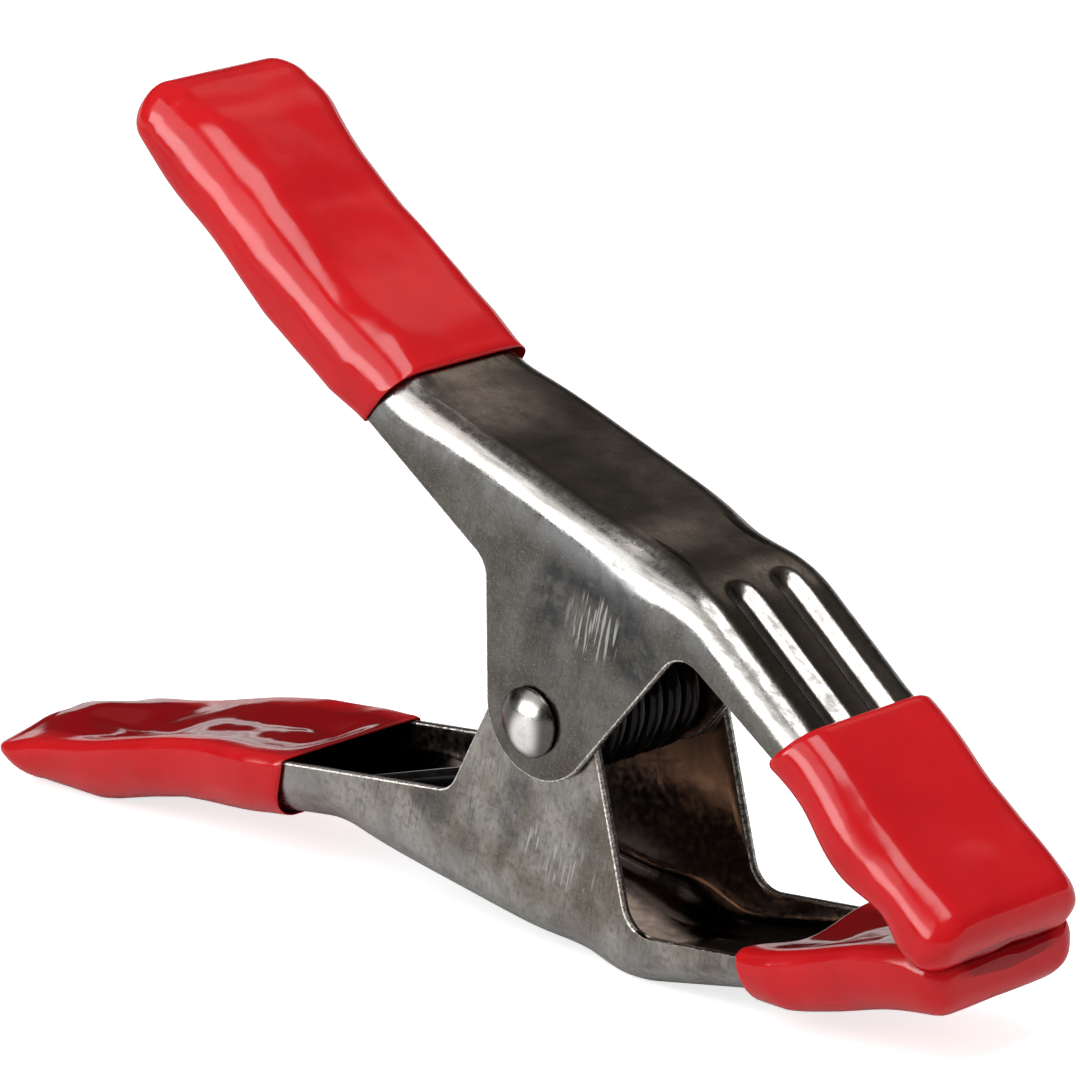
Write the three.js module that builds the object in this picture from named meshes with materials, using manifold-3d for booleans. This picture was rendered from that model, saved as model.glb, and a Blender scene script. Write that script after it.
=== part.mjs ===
// Two-inch spring clamp: two pressed-steel channel arms that turn on one rivet, closed by a torsion
// spring, with dipped vinyl covers on the handles and the jaws. Millimetres and degrees, +Z up.
//
// Both arms are drawn as the upper one, in the clamp's own frame: X runs along the plane that the
// two arms mirror each other in, towards the jaws, Z away from that plane, Y across the channel, and
// the rivet's axis is the Y axis. The lower arm is the same pressing turned over.

import * as THREE from 'three';
import { mergeVertices } from 'three/addons/utils/BufferGeometryUtils.js';
import Module from 'manifold-3d';

const wasm = await Module();
wasm.setup();

// ---- the pressed channel ----
const CHANNEL_WIDTH = 25;          // across the outside of the two side walls
const SHEET = 1.2;                 // steel thickness
const WEB_CORNER_RADIUS = 3.7;     // outside radius between web and wall
const CORNER_SWELL = 2.0;          // the corner softens by this much beside each bend
const JAW_SWELL_PLACE = 12.3;      // middle and length of each soft stretch
const JAW_SWELL_LENGTH = 6;
const HANDLE_SWELL_PLACE = -36;
const HANDLE_SWELL_LENGTH = 9;
const WEB_HEIGHT = 29.9;           // web's outer face above the mirror plane, over the rivet
const WEB_SLOPE = 4.7;             // fall of the middle of the web towards the jaws
const JAW_BEND_REACH = 21.3;       // rivet to where the web turns down to the jaw
const JAW_BEND_RADIUS = 24;
const HANDLE_BEND_REACH = 32;      // rivet to where the web turns up into the handle
const HANDLE_SLOPE = 19.8;
const HANDLE_BEND_RADIUS = 24;
const FLARE_START_REACH = 61;      // the handle kicks outward between these
const FLARE_END_REACH = 75;
const FLARE_SLOPE = 28;
const TAIL_SLOPE = 10;
const FLARE_RADIUS = 14;
const UPPER_HANDLE_REACH = 82.5;   // rivet to the steel's end, at its foot
const LOWER_HANDLE_REACH = 90.5;
const UPPER_END_SETBACK = 2.5;     // the end's top stands this much nearer the rivet than its foot
const LOWER_END_SETBACK = 5;
const JAW_REACH = 67.5;
const JAW_END_SETBACK = 0.6;       // the end's foot stands this much nearer the rivet than its top
const JAW_END_HEIGHT = 6.5;        // web's outer face above the mirror plane, at the jaw's end

// ---- edges of the side walls ----
const HANDLE_EDGE_HEIGHT = 12.2;   // handle edge carried on to the rivet, above the mirror plane
const HANDLE_EDGE_SLOPE = 20.3;
const HANDLE_EDGE_BEND_REACH = 56;
const HANDLE_TAPER_SLOPE = 26.5;
const HANDLE_EDGE_RADIUS = 30;
const HANDLE_TIP_ROUND = 4;
const JAW_EDGE_HEIGHT = 28.2;      // jaw edge carried back to the rivet
const JAW_END_EDGE_HEIGHT = 3.9;   // jaw edge at the jaw's end
const JAW_TIP_ROUND = 1.2;
const EAR_REAR = 8.15;             // rivet to the ear's rear edge, along the mirror plane
const EAR_REAR_LEAN = 14.5;        // from square to the mirror plane
const EAR_FRONT = 10.2;
const EAR_FRONT_LEAN = 27.8;
const EAR_DROP = 7.3;              // the ear's end beyond the rivet's centre
const EAR_RADIUS = 9;
const REAR_NOTCH_RADIUS = 4;
const FRONT_NOTCH_RADIUS = 4.2;

// ---- stiffening beads pressed into the jaw's web ----
const BEAD_SPACING = 8.1;
const BEAD_WIDTH = 5.4;
const BEAD_DEPTH = 1.1;
const BEAD_START = 19.8;

// ---- rivet ----
const RIVET_DIAMETER = 6;
const RIVET_HOLE_CLEARANCE = 0.3;  // all round the shank
const RIVET_HEAD_DIAMETER = 9.2;
const RIVET_HEAD_HEIGHT = 2.4;
const CLENCH_DIAMETER = 8.6;       // the end that is formed over
const CLENCH_HEIGHT = 1.9;
const HEAD_CLEARANCE = 0.3;
const EAR_CLEARANCE = 0.3;         // between the two ears on each side

// ---- torsion spring ----
const WIRE_DIAMETER = 2.7;
const COIL_MEAN_RADIUS = 6.95;
const COIL_TURNS = 5;              // whole turns, besides the part turn between the two legs
const COIL_PITCH = 3.35;
const LEG_LENGTH = 50;
const LEG_SET_IN = 3.5;            // how far each leg runs towards the middle of its channel
const LEG_LEAD = 4;                // first facet of the leg, off the coil
const LEG_CLEARANCE = 0.3;

// ---- dipped vinyl covers ----
const VINYL = { foot: 0.85, top: 1.15, side: 0.85 };   // usual thickness of the coat
const VINYL_CLEARANCE = 0.3;
const RIM_DRAW = 0.4;              // the coat thins by this much at its rounded rim
const RIM_LENGTH = 1.4;
const HANDLE_COVER_LENGTH = 46;
const HANDLE_MOUTH_SETBACK = 3.6;  // the mouth's foot stands this much nearer the tip than its top
const UPPER_TIP_BUILD = 4.5;       // vinyl beyond the end of the steel
const LOWER_TIP_BUILD = 6.5;
const HANDLE_WAVE = 0.55;          // the runs of a dipped coat: height and length of the waves
const HANDLE_WAVE_LENGTH = 27;
const HANDLE_WAVE_START = { foot: 0.6, top: 0.15, side: 0.45 };
const JAW_COVER_LENGTH = 28.7;
const JAW_MOUTH_SETBACK = 2.6;     // the mouth's top stands this much nearer the tip than its foot
const JAW_TIP_BUILD = 3.5;
const JAW_WAVE = 0.35;
const JAW_WAVE_LENGTH = 26.5;
const JAW_WAVE_START = { foot: 0.48, top: 0, side: 0.44 };
const WAVE_SHARE = { foot: 0.45, top: 1, side: 0.5 };
const FILM_SAG = 1.6;              // the film across the channel's open side draws in by this much
const FILM_PLACES = [0, 0.35, 0.6]; // shares of the half width at the facets of the film
const FILM_EDGE = 0.9;             // share of the half width where the sag ends
const TOP_FLAT = 0.3;              // share of the half width where the top's facets meet
const TIP_LEAST = 0.8;             // height that the rounded tip closes in to
const JAW_CLEARANCE = 0.3;         // between the closed jaws
const JAW_PAD_LENGTH = 9;          // where the coat's underside comes to the mirror plane
const JAW_PAD_EASE = 5;
const JAW_PAD_PRESSED = 0.4;       // the pad is pressed flat by this much

// ---- stance ----
const MOST_TILT = 40;              // degrees searched for the resting tilt
const TILT_HALVINGS = 50;

// ---- fineness of the facets ----
const ARC_STEP = 10;               // degrees along a bend or fillet
const CORNER_STEPS = 4;
const FOOT_STEPS = 2;
const BEAD_STEPS = 3;
const SWELL_STEPS = 2;
const DOME_STEPS = 6;
const HOLE_SIDES = 32;
const WIRE_SIDES = 5;
const STEPS_PER_TURN = 8;
const COVER_STATIONS = 10;
const TIP_STEPS = 4;
const LEAST_STATION = 0.3;         // stations closer than this are one
const SLOPE_SPAN = 0.5;

const HALF_WIDTH = CHANNEL_WIDTH / 2;
const ARM_OFFSET = (SHEET + EAR_CLEARANCE) / 2;
const OVERRUN = 12;                // blanks run this far past the trimming outline
const ABOVE_WEB = 30;
const tangent = (degrees) => Math.tan(THREE.MathUtils.degToRad(degrees));

// ---------------------------------------------------------------------------------------------
// Profiles in the side view
// ---------------------------------------------------------------------------------------------

// Points of an open path whose inner corners [x, z, radius] are rounded.
function roundedPath(corners) {
  const points = [new THREE.Vector2(...corners[0])];
  for (let i = 1; i < corners.length - 1; i += 1) {
    const [x, z, radius] = corners[i];
    const here = new THREE.Vector2(x, z);
    const back = new THREE.Vector2(...corners[i - 1]).sub(here).normalize();
    const ahead = new THREE.Vector2(...corners[i + 1]).sub(here).normalize();
    const opening = Math.acos(back.dot(ahead));
    const reach = radius / Math.tan(opening / 2);
    const centre = back.clone().add(ahead).normalize().multiplyScalar(radius / Math.sin(opening / 2));
    centre.add(here);
    const start = here.clone().addScaledVector(back, reach).sub(centre);
    const end = here.clone().addScaledVector(ahead, reach).sub(centre);
    const sweep = Math.atan2(start.cross(end), start.dot(end));
    const steps = Math.max(2, Math.ceil(THREE.MathUtils.radToDeg(Math.abs(sweep)) / ARC_STEP));
    for (let k = 0; k <= steps; k += 1) {
      points.push(start.clone().rotateAround(new THREE.Vector2(), (sweep * k) / steps).add(centre));
    }
  }
  points.push(new THREE.Vector2(...corners.at(-1)));
  return points;
}

// Height of a path, that runs towards +X, at x; its end stretches run on.
function heightAt(path, x) {
  let i = 1;
  while (i < path.length - 1 && path[i].x < x) {
    i += 1;
  }
  const a = path[i - 1];
  const b = path[i];
  return a.y + ((b.y - a.y) * (x - a.x)) / (b.x - a.x);
}

function slopeAt(path, x) {
  const rise = heightAt(path, x + SLOPE_SPAN) - heightAt(path, x - SLOPE_SPAN);
  return Math.atan2(rise, 2 * SLOPE_SPAN);
}

const webLine = (x) => WEB_HEIGHT - tangent(WEB_SLOPE) * x;
const jawEdgeFall = (JAW_EDGE_HEIGHT - JAW_END_EDGE_HEIGHT) / JAW_REACH;
const jawEdgeLine = (x) => JAW_EDGE_HEIGHT - jawEdgeFall * x;
const handleEdgeLine = (x) => HANDLE_EDGE_HEIGHT - tangent(HANDLE_EDGE_SLOPE) * x;

// The outer face of the web, from behind the handle's end to beyond the jaw's end.
function webPath(reach) {
  const handleBendHeight = webLine(-HANDLE_BEND_REACH);
  const flareHeight = handleBendHeight + (FLARE_START_REACH - HANDLE_BEND_REACH) * tangent(HANDLE_SLOPE);
  const tailHeight = flareHeight + (FLARE_END_REACH - FLARE_START_REACH) * tangent(FLARE_SLOPE);
  const rear = reach + OVERRUN;
  const front = JAW_REACH + OVERRUN;
  const jawBendHeight = webLine(JAW_BEND_REACH);
  const jawFall = (jawBendHeight - JAW_END_HEIGHT) / (JAW_REACH - JAW_BEND_REACH);
  return roundedPath([
    [-rear, tailHeight + (rear - FLARE_END_REACH) * tangent(TAIL_SLOPE)],
    [-FLARE_END_REACH, tailHeight, FLARE_RADIUS],
    [-FLARE_START_REACH, flareHeight, FLARE_RADIUS],
    [-HANDLE_BEND_REACH, handleBendHeight, HANDLE_BEND_RADIUS],
    [JAW_BEND_REACH, jawBendHeight, JAW_BEND_RADIUS],
    [front, jawBendHeight - (front - JAW_BEND_REACH) * jawFall],
  ]);
}

// The lower edge of the handle's side wall.
function handleEdgePath(reach) {
  const bendHeight = handleEdgeLine(-HANDLE_EDGE_BEND_REACH);
  const rear = reach + OVERRUN;
  return roundedPath([
    [-rear, bendHeight + (rear - HANDLE_EDGE_BEND_REACH) * tangent(HANDLE_TAPER_SLOPE)],
    [-HANDLE_EDGE_BEND_REACH, bendHeight, HANDLE_EDGE_RADIUS],
    [0, handleEdgeLine(0)],
  ]);
}

// Where an edge line z = height - slope * x meets a leaning ear edge x = foot + lean * z.
function earCorner(height, slope, foot, lean) {
  const z = (height - slope * foot) / (1 + slope * lean);
  return [foot + lean * z, z];
}

// The side view that the bent blank is trimmed to.
function armOutline({ reach, setback }) {
  const edge = handleEdgePath(reach);
  const rearLean = -tangent(EAR_REAR_LEAN);
  const frontLean = tangent(EAR_FRONT_LEAN);
  const endLean = setback / (heightAt(webPath(reach), -reach + setback) - heightAt(edge, -reach));
  const jawLean = JAW_END_SETBACK / (heightAt(webPath(reach), JAW_REACH) - jawEdgeLine(JAW_REACH));
  const top = heightAt(webPath(reach), -reach) + ABOVE_WEB;
  const rearEnd = heightAt(edge, -reach);
  const jawEnd = jawEdgeLine(JAW_REACH);
  const rearCorner = earCorner(HANDLE_EDGE_HEIGHT, tangent(HANDLE_EDGE_SLOPE), -EAR_REAR, rearLean);
  const frontCorner = earCorner(JAW_EDGE_HEIGHT, jawEdgeFall, EAR_FRONT, frontLean);
  return new THREE.Shape(roundedPath([
    [-reach + (top - rearEnd) * endLean, top],
    [-reach, rearEnd, HANDLE_TIP_ROUND],
    [-HANDLE_EDGE_BEND_REACH, handleEdgeLine(-HANDLE_EDGE_BEND_REACH), HANDLE_EDGE_RADIUS],
    [...rearCorner, REAR_NOTCH_RADIUS],
    [-EAR_REAR - EAR_DROP * rearLean, -EAR_DROP, EAR_RADIUS],
    [EAR_FRONT - EAR_DROP * frontLean, -EAR_DROP, EAR_RADIUS],
    [...frontCorner, FRONT_NOTCH_RADIUS],
    [JAW_REACH, jawEnd, JAW_TIP_ROUND],
    [JAW_REACH + (top - jawEnd) * jawLean, top],
  ]));
}

// ---------------------------------------------------------------------------------------------
// Solids
// ---------------------------------------------------------------------------------------------

// Triangles over an end ring, all turned the way the ring runs. Every end ring faces along X.
function ringFaces(ring) {
  const flat = ring.map((point) => new THREE.Vector2(point.y, point.z));
  const sense = THREE.ShapeUtils.isClockWise(flat);
  return THREE.ShapeUtils.triangulateShape(flat, []).map(([a, b, c]) => (
    THREE.ShapeUtils.isClockWise([flat[a], flat[b], flat[c]]) === sense ? [a, b, c] : [a, c, b]
  ));
}

// A closed skin over rings of the same number of points.
function loft(rings) {
  const count = rings[0].length;
  const positions = [];
  const index = [];
  for (const ring of rings) {
    for (const point of ring) {
      positions.push(point.x, point.y, point.z);
    }
  }
  for (let r = 0; r < rings.length - 1; r += 1) {
    for (let k = 0; k < count; k += 1) {
      const a = r * count + k;
      const b = r * count + ((k + 1) % count);
      index.push(a, b, a + count, b, b + count, a + count);
    }
  }
  for (const [a, b, c] of ringFaces(rings[0])) {
    index.push(a, c, b);
  }
  const last = (rings.length - 1) * count;
  for (const [a, b, c] of ringFaces(rings.at(-1))) {
    index.push(last + a, last + b, last + c);
  }
  const geometry = new THREE.BufferGeometry();
  geometry.setAttribute('position', new THREE.Float32BufferAttribute(positions, 3));
  geometry.setIndex(volumeOf(positions, index) < 0 ? index.reverse() : index);
  return geometry;
}

function volumeOf(positions, index) {
  let volume = 0;
  for (let i = 0; i < index.length; i += 3) {
    const [a, b, c] = [0, 1, 2].map((k) => new THREE.Vector3().fromArray(positions, 3 * index[i + k]));
    volume += a.dot(b.cross(c)) / 6;
  }
  return volume;
}

function toSolid(geometry) {
  const bare = geometry.clone();
  bare.deleteAttribute('normal');
  bare.deleteAttribute('uv');
  const merged = mergeVertices(bare, 1e-5);
  return new wasm.Manifold(new wasm.Mesh({
    numProp: 3,
    vertProperties: new Float32Array(merged.attributes.position.array),
    triVerts: new Uint32Array(merged.index.array),
  }));
}

function toGeometry(solid) {
  const mesh = solid.getMesh();
  const geometry = new THREE.BufferGeometry();
  geometry.setAttribute('position', new THREE.BufferAttribute(new Float32Array(mesh.vertProperties), 3));
  geometry.setIndex(new THREE.BufferAttribute(new Uint32Array(mesh.triVerts), 1));
  return geometry;
}

// ---------------------------------------------------------------------------------------------
// Arm
// ---------------------------------------------------------------------------------------------

// How far the web is pressed in at a place: two grooves with a round end each.
function beadDepth(x, y) {
  const half = BEAD_WIDTH / 2;
  const behind = Math.max(0, BEAD_START + half - x);
  const aside = Math.abs(Math.abs(y) - BEAD_SPACING / 2);
  const share = Math.hypot(behind, aside) / half;
  return share < 1 ? BEAD_DEPTH * Math.cos((Math.PI / 2) * share) ** 2 : 0;
}

// The corner between web and wall, softer beside the two bends.
function cornerRadius(x) {
  const swell = (place, length) => CORNER_SWELL * Math.exp(-(((x - place) / length) ** 2));
  const atJaw = swell(JAW_SWELL_PLACE, JAW_SWELL_LENGTH);
  const atHandle = swell(HANDLE_SWELL_PLACE, HANDLE_SWELL_LENGTH);
  return WEB_CORNER_RADIUS + atJaw + atHandle;
}

// Places across the web: its middle, and the facets of the two beads.
function webPlaces() {
  const places = [0];
  for (let k = -BEAD_STEPS; k <= BEAD_STEPS; k += 1) {
    const aside = (k / BEAD_STEPS) * (BEAD_WIDTH / 2);
    places.push(aside - BEAD_SPACING / 2, aside + BEAD_SPACING / 2);
  }
  return places.sort((a, b) => a - b);
}

// Section of the bent blank at x: up the near wall, over the web, down the far wall, and back inside.
function blankSection(web, x, floor) {
  const height = heightAt(web, x);
  const stretch = 1 / Math.cos(slopeAt(web, x));
  const face = (inset) => {
    const radius = cornerRadius(x) - inset;
    const wall = HALF_WIDTH - inset;
    const line = [];
    const arc = (side, from, to) => {
      for (let k = 0; k <= CORNER_STEPS; k += 1) {
        const angle = THREE.MathUtils.degToRad(from + ((to - from) * k) / CORNER_STEPS);
        const y = side * (wall - radius + radius * Math.cos(angle));
        line.push([y, height - stretch * (inset + radius * (1 - Math.sin(angle)))]);
      }
    };
    line.push([-wall, floor]);
    arc(-1, 0, 90);
    for (const y of webPlaces()) {
      line.push([y, height - stretch * (inset + beadDepth(x, y))]);
    }
    arc(1, 90, 0);
    line.push([wall, floor]);
    return line;
  };
  const loop = [...face(0), ...face(SHEET).reverse()];
  return loop.map(([y, z]) => new THREE.Vector3(x, y, z));
}

// Stations along the blank: the points of the web's path, the beads' round ends and the soft corners.
function blankStations(web) {
  const stations = web.map((point) => point.x);
  for (let k = 0; k <= BEAD_STEPS; k += 1) {
    stations.push(BEAD_START + (k / BEAD_STEPS) * (BEAD_WIDTH / 2));
  }
  for (let k = -SWELL_STEPS; k <= SWELL_STEPS; k += 1) {
    stations.push(JAW_SWELL_PLACE + k * JAW_SWELL_LENGTH);
    stations.push(HANDLE_SWELL_PLACE + k * HANDLE_SWELL_LENGTH);
  }
  stations.sort((a, b) => a - b);
  return stations.filter((x, i) => i === 0 || x - stations[i - 1] > LEAST_STATION);
}

function armGeometry(handle) {
  const web = webPath(handle.reach);
  const floor = -EAR_DROP - OVERRUN;
  const blank = toSolid(loft(blankStations(web).map((x) => blankSection(web, x, floor))));
  const width = CHANNEL_WIDTH + OVERRUN;
  const outline = new THREE.ExtrudeGeometry(armOutline(handle), { depth: width, bevelEnabled: false });
  outline.rotateX(Math.PI / 2);
  outline.translate(0, width / 2, 0);
  const bore = RIVET_DIAMETER / 2 + RIVET_HOLE_CLEARANCE;
  const drill = new THREE.CylinderGeometry(bore, bore, width, HOLE_SIDES);
  return toGeometry(blank.intersect(toSolid(outline)).subtract(toSolid(drill)));
}

// ---------------------------------------------------------------------------------------------
// Vinyl covers
// ---------------------------------------------------------------------------------------------

// A ring of a cover, from its foot point to its top point in the side view. The top corners follow
// the channel's, and the side across the channel's open mouth sags inward.
function coverRing(foot, top, halfWidth, topRadius, footRadius, sag) {
  const height = top.distanceTo(foot);
  const up = top.clone().sub(foot).divideScalar(height);
  const round = Math.min(topRadius, height / 2 - LEAST_STATION);
  const low = Math.min(footRadius, height / 2 - LEAST_STATION);
  const half = [];
  for (const share of FILM_PLACES) {
    half.push([halfWidth * share, sag * Math.cos((Math.PI / 2) * (share / FILM_EDGE)) ** 2]);
  }
  for (let k = 0; k <= FOOT_STEPS; k += 1) {
    const angle = ((Math.PI / 2) * k) / FOOT_STEPS;
    half.push([halfWidth - low + low * Math.sin(angle), low - low * Math.cos(angle)]);
  }
  for (let k = 0; k <= CORNER_STEPS; k += 1) {
    const angle = ((Math.PI / 2) * k) / CORNER_STEPS;
    half.push([halfWidth - round + round * Math.cos(angle), height - round + round * Math.sin(angle)]);
  }
  half.push([halfWidth * TOP_FLAT, height]);
  const loop = [...half, ...half.slice(1).reverse().map(([y, v]) => [-y, v])];
  return loop.map(([y, v]) => new THREE.Vector3(foot.x + up.x * v, y, foot.y + up.y * v));
}

// A dipped cover on the channel. place(w) gives the foot and the top of the steel at share w of the
// way from the mouth to the steel's end, coat(w) the coat's thickness on each face, and sag(w) how far
// the film across the channel's open side draws in.
function coverGeometry({ place, coat, sag, tipBuild, length }) {
  const rings = [];
  const clear = VINYL_CLEARANCE;
  const stations = [];
  for (let i = 0; i <= COVER_STATIONS; i += 1) {
    stations.push(i / COVER_STATIONS);
  }
  const grown = (w, footGrowth, topGrowth) => {
    const { foot, top } = place(w);
    const up = top.clone().sub(foot).normalize();
    return [foot.clone().addScaledVector(up, -footGrowth), top.clone().addScaledVector(up, topGrowth)];
  };
  const pocketWidth = HALF_WIDTH + clear;
  const pocketRadius = WEB_CORNER_RADIUS + clear;
  const pocketRing = (w) => {
    const [foot, top] = grown(w, clear, clear);
    return coverRing(foot, top, pocketWidth, pocketRadius, clear, sag(w));
  };
  rings.push(pocketRing(1 + clear / length));
  for (const w of [...stations].reverse()) {
    rings.push(pocketRing(w));
  }
  const skinRing = (w, thin) => {
    const thick = coat(w);
    const [foot, top] = grown(w, clear + thick.foot - thin, clear + thick.top - thin);
    const width = pocketWidth + thick.side - thin;
    return coverRing(foot, top, width, pocketRadius + thick.side - thin, thick.foot, sag(w));
  };
  rings.push(skinRing(0, RIM_DRAW));
  rings.push(skinRing(RIM_LENGTH / length, 0));
  for (const w of stations.slice(1)) {
    rings.push(skinRing(w, 0));
  }
  // The rounded tip: each ring is drawn in from all sides as it stands further out.
  const end = coat(1);
  const [footEnd, topEnd] = grown(1, clear + end.foot, clear + end.top);
  const middle = (w) => place(w).foot.add(place(w).top).multiplyScalar(1 / 2);
  const out = middle(1).sub(middle(1 - 1 / COVER_STATIONS)).normalize();
  const height = topEnd.distanceTo(footEnd);
  const up = topEnd.clone().sub(footEnd).divideScalar(height);
  for (let k = 1; k <= TIP_STEPS; k += 1) {
    const angle = (Math.PI / 2) * (k / TIP_STEPS);
    const drawn = tipBuild * (1 - Math.cos(angle));
    const inset = Math.min(drawn, (height - TIP_LEAST) / 2);
    const shift = out.clone().multiplyScalar(tipBuild * Math.sin(angle));
    const ringFoot = footEnd.clone().addScaledVector(up, inset).add(shift);
    const ringTop = topEnd.clone().addScaledVector(up, -inset).add(shift);
    const width = pocketWidth + end.side - drawn;
    const sagged = sag(1) * (1 - (2 * inset) / height);
    rings.push(coverRing(ringFoot, ringTop, width, pocketRadius + end.side, end.foot, sagged));
  }
  return loft(rings);
}

// The coat hangs in soft runs, thickest in waves that pass from mouth to tip.
function wavyCoat(along, height, length, start) {
  const thick = (face) => {
    const turn = 2 * Math.PI * (along / length + start[face]);
    return VINYL[face] + WAVE_SHARE[face] * height * Math.sin(turn);
  };
  return { foot: thick('foot'), top: thick('top'), side: thick('side') };
}

function handleCoverGeometry({ reach, setback, tipBuild }) {
  const web = webPath(reach);
  const edge = handleEdgePath(reach);
  const mouth = -(reach - HANDLE_COVER_LENGTH);
  const place = (w) => {
    const footX = THREE.MathUtils.lerp(mouth, -reach, w);
    const lean = THREE.MathUtils.lerp(HANDLE_MOUTH_SETBACK, setback, w);
    const topX = footX + lean;
    return {
      foot: new THREE.Vector2(footX, heightAt(edge, footX)),
      top: new THREE.Vector2(topX, heightAt(web, topX)),
    };
  };
  const coat = (w) => (
    wavyCoat(w * HANDLE_COVER_LENGTH, HANDLE_WAVE, HANDLE_WAVE_LENGTH, HANDLE_WAVE_START)
  );
  const sag = () => FILM_SAG;
  return coverGeometry({ place, coat, sag, tipBuild, length: HANDLE_COVER_LENGTH });
}

function jawCoverGeometry(handle) {
  const web = webPath(handle.reach);
  const mouth = JAW_REACH - JAW_COVER_LENGTH;
  const place = (w) => {
    const footX = THREE.MathUtils.lerp(mouth, JAW_REACH, w);
    const topX = footX + THREE.MathUtils.lerp(JAW_MOUTH_SETBACK, JAW_END_SETBACK, w);
    return {
      foot: new THREE.Vector2(footX, jawEdgeLine(footX)),
      top: new THREE.Vector2(topX, heightAt(web, topX)),
    };
  };
  const padStart = 1 - JAW_PAD_LENGTH / JAW_COVER_LENGTH;
  const onPad = (w) => THREE.MathUtils.smoothstep(w, padStart, padStart + JAW_PAD_EASE / JAW_COVER_LENGTH);
  const coat = (w) => {
    const thick = wavyCoat(w * JAW_COVER_LENGTH, JAW_WAVE, JAW_WAVE_LENGTH, JAW_WAVE_START);
    const toPlane = place(w).foot.y - VINYL_CLEARANCE - JAW_CLEARANCE / 2 + JAW_PAD_PRESSED;
    thick.foot = THREE.MathUtils.lerp(thick.foot, toPlane, onPad(w));
    return thick;
  };
  const sag = (w) => FILM_SAG * (1 - onPad(w));
  const dipped = coverGeometry({ place, coat, sag, tipBuild: JAW_TIP_BUILD, length: JAW_COVER_LENGTH });
  const below = new THREE.BoxGeometry(2 * JAW_COVER_LENGTH, CHANNEL_WIDTH + OVERRUN, OVERRUN);
  below.translate(JAW_REACH, 0, JAW_CLEARANCE / 2 - OVERRUN / 2);
  return toGeometry(toSolid(dipped).subtract(toSolid(below)));
}

// ---------------------------------------------------------------------------------------------
// Rivet and spring
// ---------------------------------------------------------------------------------------------

// The domed head is on the near side, the clenched end on the far side.
function rivetGeometry() {
  const seat = HALF_WIDTH + ARM_OFFSET + HEAD_CLEARANCE;
  const shank = RIVET_DIAMETER / 2;
  const profile = [];
  const dome = (diameter, height, from, to, sense) => {
    for (let k = 0; k <= DOME_STEPS; k += 1) {
      const angle = THREE.MathUtils.degToRad(from + ((to - from) * k) / DOME_STEPS);
      const y = sense * (seat + height * Math.sin(angle));
      profile.push(new THREE.Vector2((diameter / 2) * Math.cos(angle), y));
    }
  };
  dome(RIVET_HEAD_DIAMETER, RIVET_HEAD_HEIGHT, 90, 0, -1);
  profile.push(new THREE.Vector2(shank, -seat));
  profile.push(new THREE.Vector2(shank, seat));
  dome(CLENCH_DIAMETER, CLENCH_HEIGHT, 0, 90, 1);
  profile[0].x = 0;
  profile.at(-1).x = 0;
  return new THREE.LatheGeometry(profile, HOLE_SIDES);
}

// Angle of a leg above the mirror plane, so that its end lies just inside the handle's web.
function legAngle() {
  const slope = THREE.MathUtils.degToRad(HANDLE_SLOPE);
  const bendHeight = webLine(-HANDLE_BEND_REACH);
  const innerFace = Math.cos(slope) * bendHeight - Math.sin(slope) * HANDLE_BEND_REACH - SHEET;
  const room = innerFace - WIRE_DIAMETER / 2 - LEG_CLEARANCE;
  const span = Math.hypot(COIL_MEAN_RADIUS, LEG_LENGTH);
  return slope + Math.asin(room / span) - Math.atan2(COIL_MEAN_RADIUS, LEG_LENGTH);
}

// The wire's centre line: down the upper leg, round the coil towards the near side, out along the
// lower leg.
function springLine() {
  const angle = legAngle();
  const first = Math.PI / 2 - angle;
  const sweep = 2 * first + 2 * Math.PI * COIL_TURNS;
  const rise = (COIL_PITCH * sweep) / (2 * Math.PI);
  const line = [];
  const legPoint = (side, share) => new THREE.Vector3(
    COIL_MEAN_RADIUS * Math.cos(first) - share * LEG_LENGTH * Math.cos(angle),
    side * (rise / 2 - share * LEG_SET_IN),
    side * (COIL_MEAN_RADIUS * Math.sin(first) + share * LEG_LENGTH * Math.sin(angle)),
  );
  const lead = LEG_LEAD / LEG_LENGTH;
  const end = 1 - WIRE_DIAMETER / LEG_LENGTH;
  line.push(legPoint(1, 1), legPoint(1, end), legPoint(1, lead));
  const steps = Math.round((STEPS_PER_TURN * sweep) / (2 * Math.PI));
  for (let k = 0; k <= steps; k += 1) {
    const turned = (sweep * k) / steps;
    const at = first - turned;
    const y = rise / 2 - (rise * k) / steps;
    line.push(new THREE.Vector3(COIL_MEAN_RADIUS * Math.cos(at), y, COIL_MEAN_RADIUS * Math.sin(at)));
  }
  line.push(legPoint(-1, lead), legPoint(-1, end), legPoint(-1, 1));
  return line;
}

// Least gap between stretches of the wire that lie further apart along it than half a turn.
function leastGap(line) {
  const along = [0];
  for (let i = 1; i < line.length; i += 1) {
    along.push(along[i - 1] + line[i].distanceTo(line[i - 1]));
  }
  let least = Infinity;
  for (let i = 0; i < line.length; i += 1) {
    for (let j = i + 1; j < line.length - 1; j += 1) {
      if (along[j] - along[i] > Math.PI * COIL_MEAN_RADIUS) {
        const piece = new THREE.Line3(line[j], line[j + 1]);
        const nearest = piece.closestPointToPoint(line[i], true, new THREE.Vector3());
        least = Math.min(least, nearest.distanceTo(line[i]) - WIRE_DIAMETER);
      }
    }
  }
  return least;
}

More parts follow.
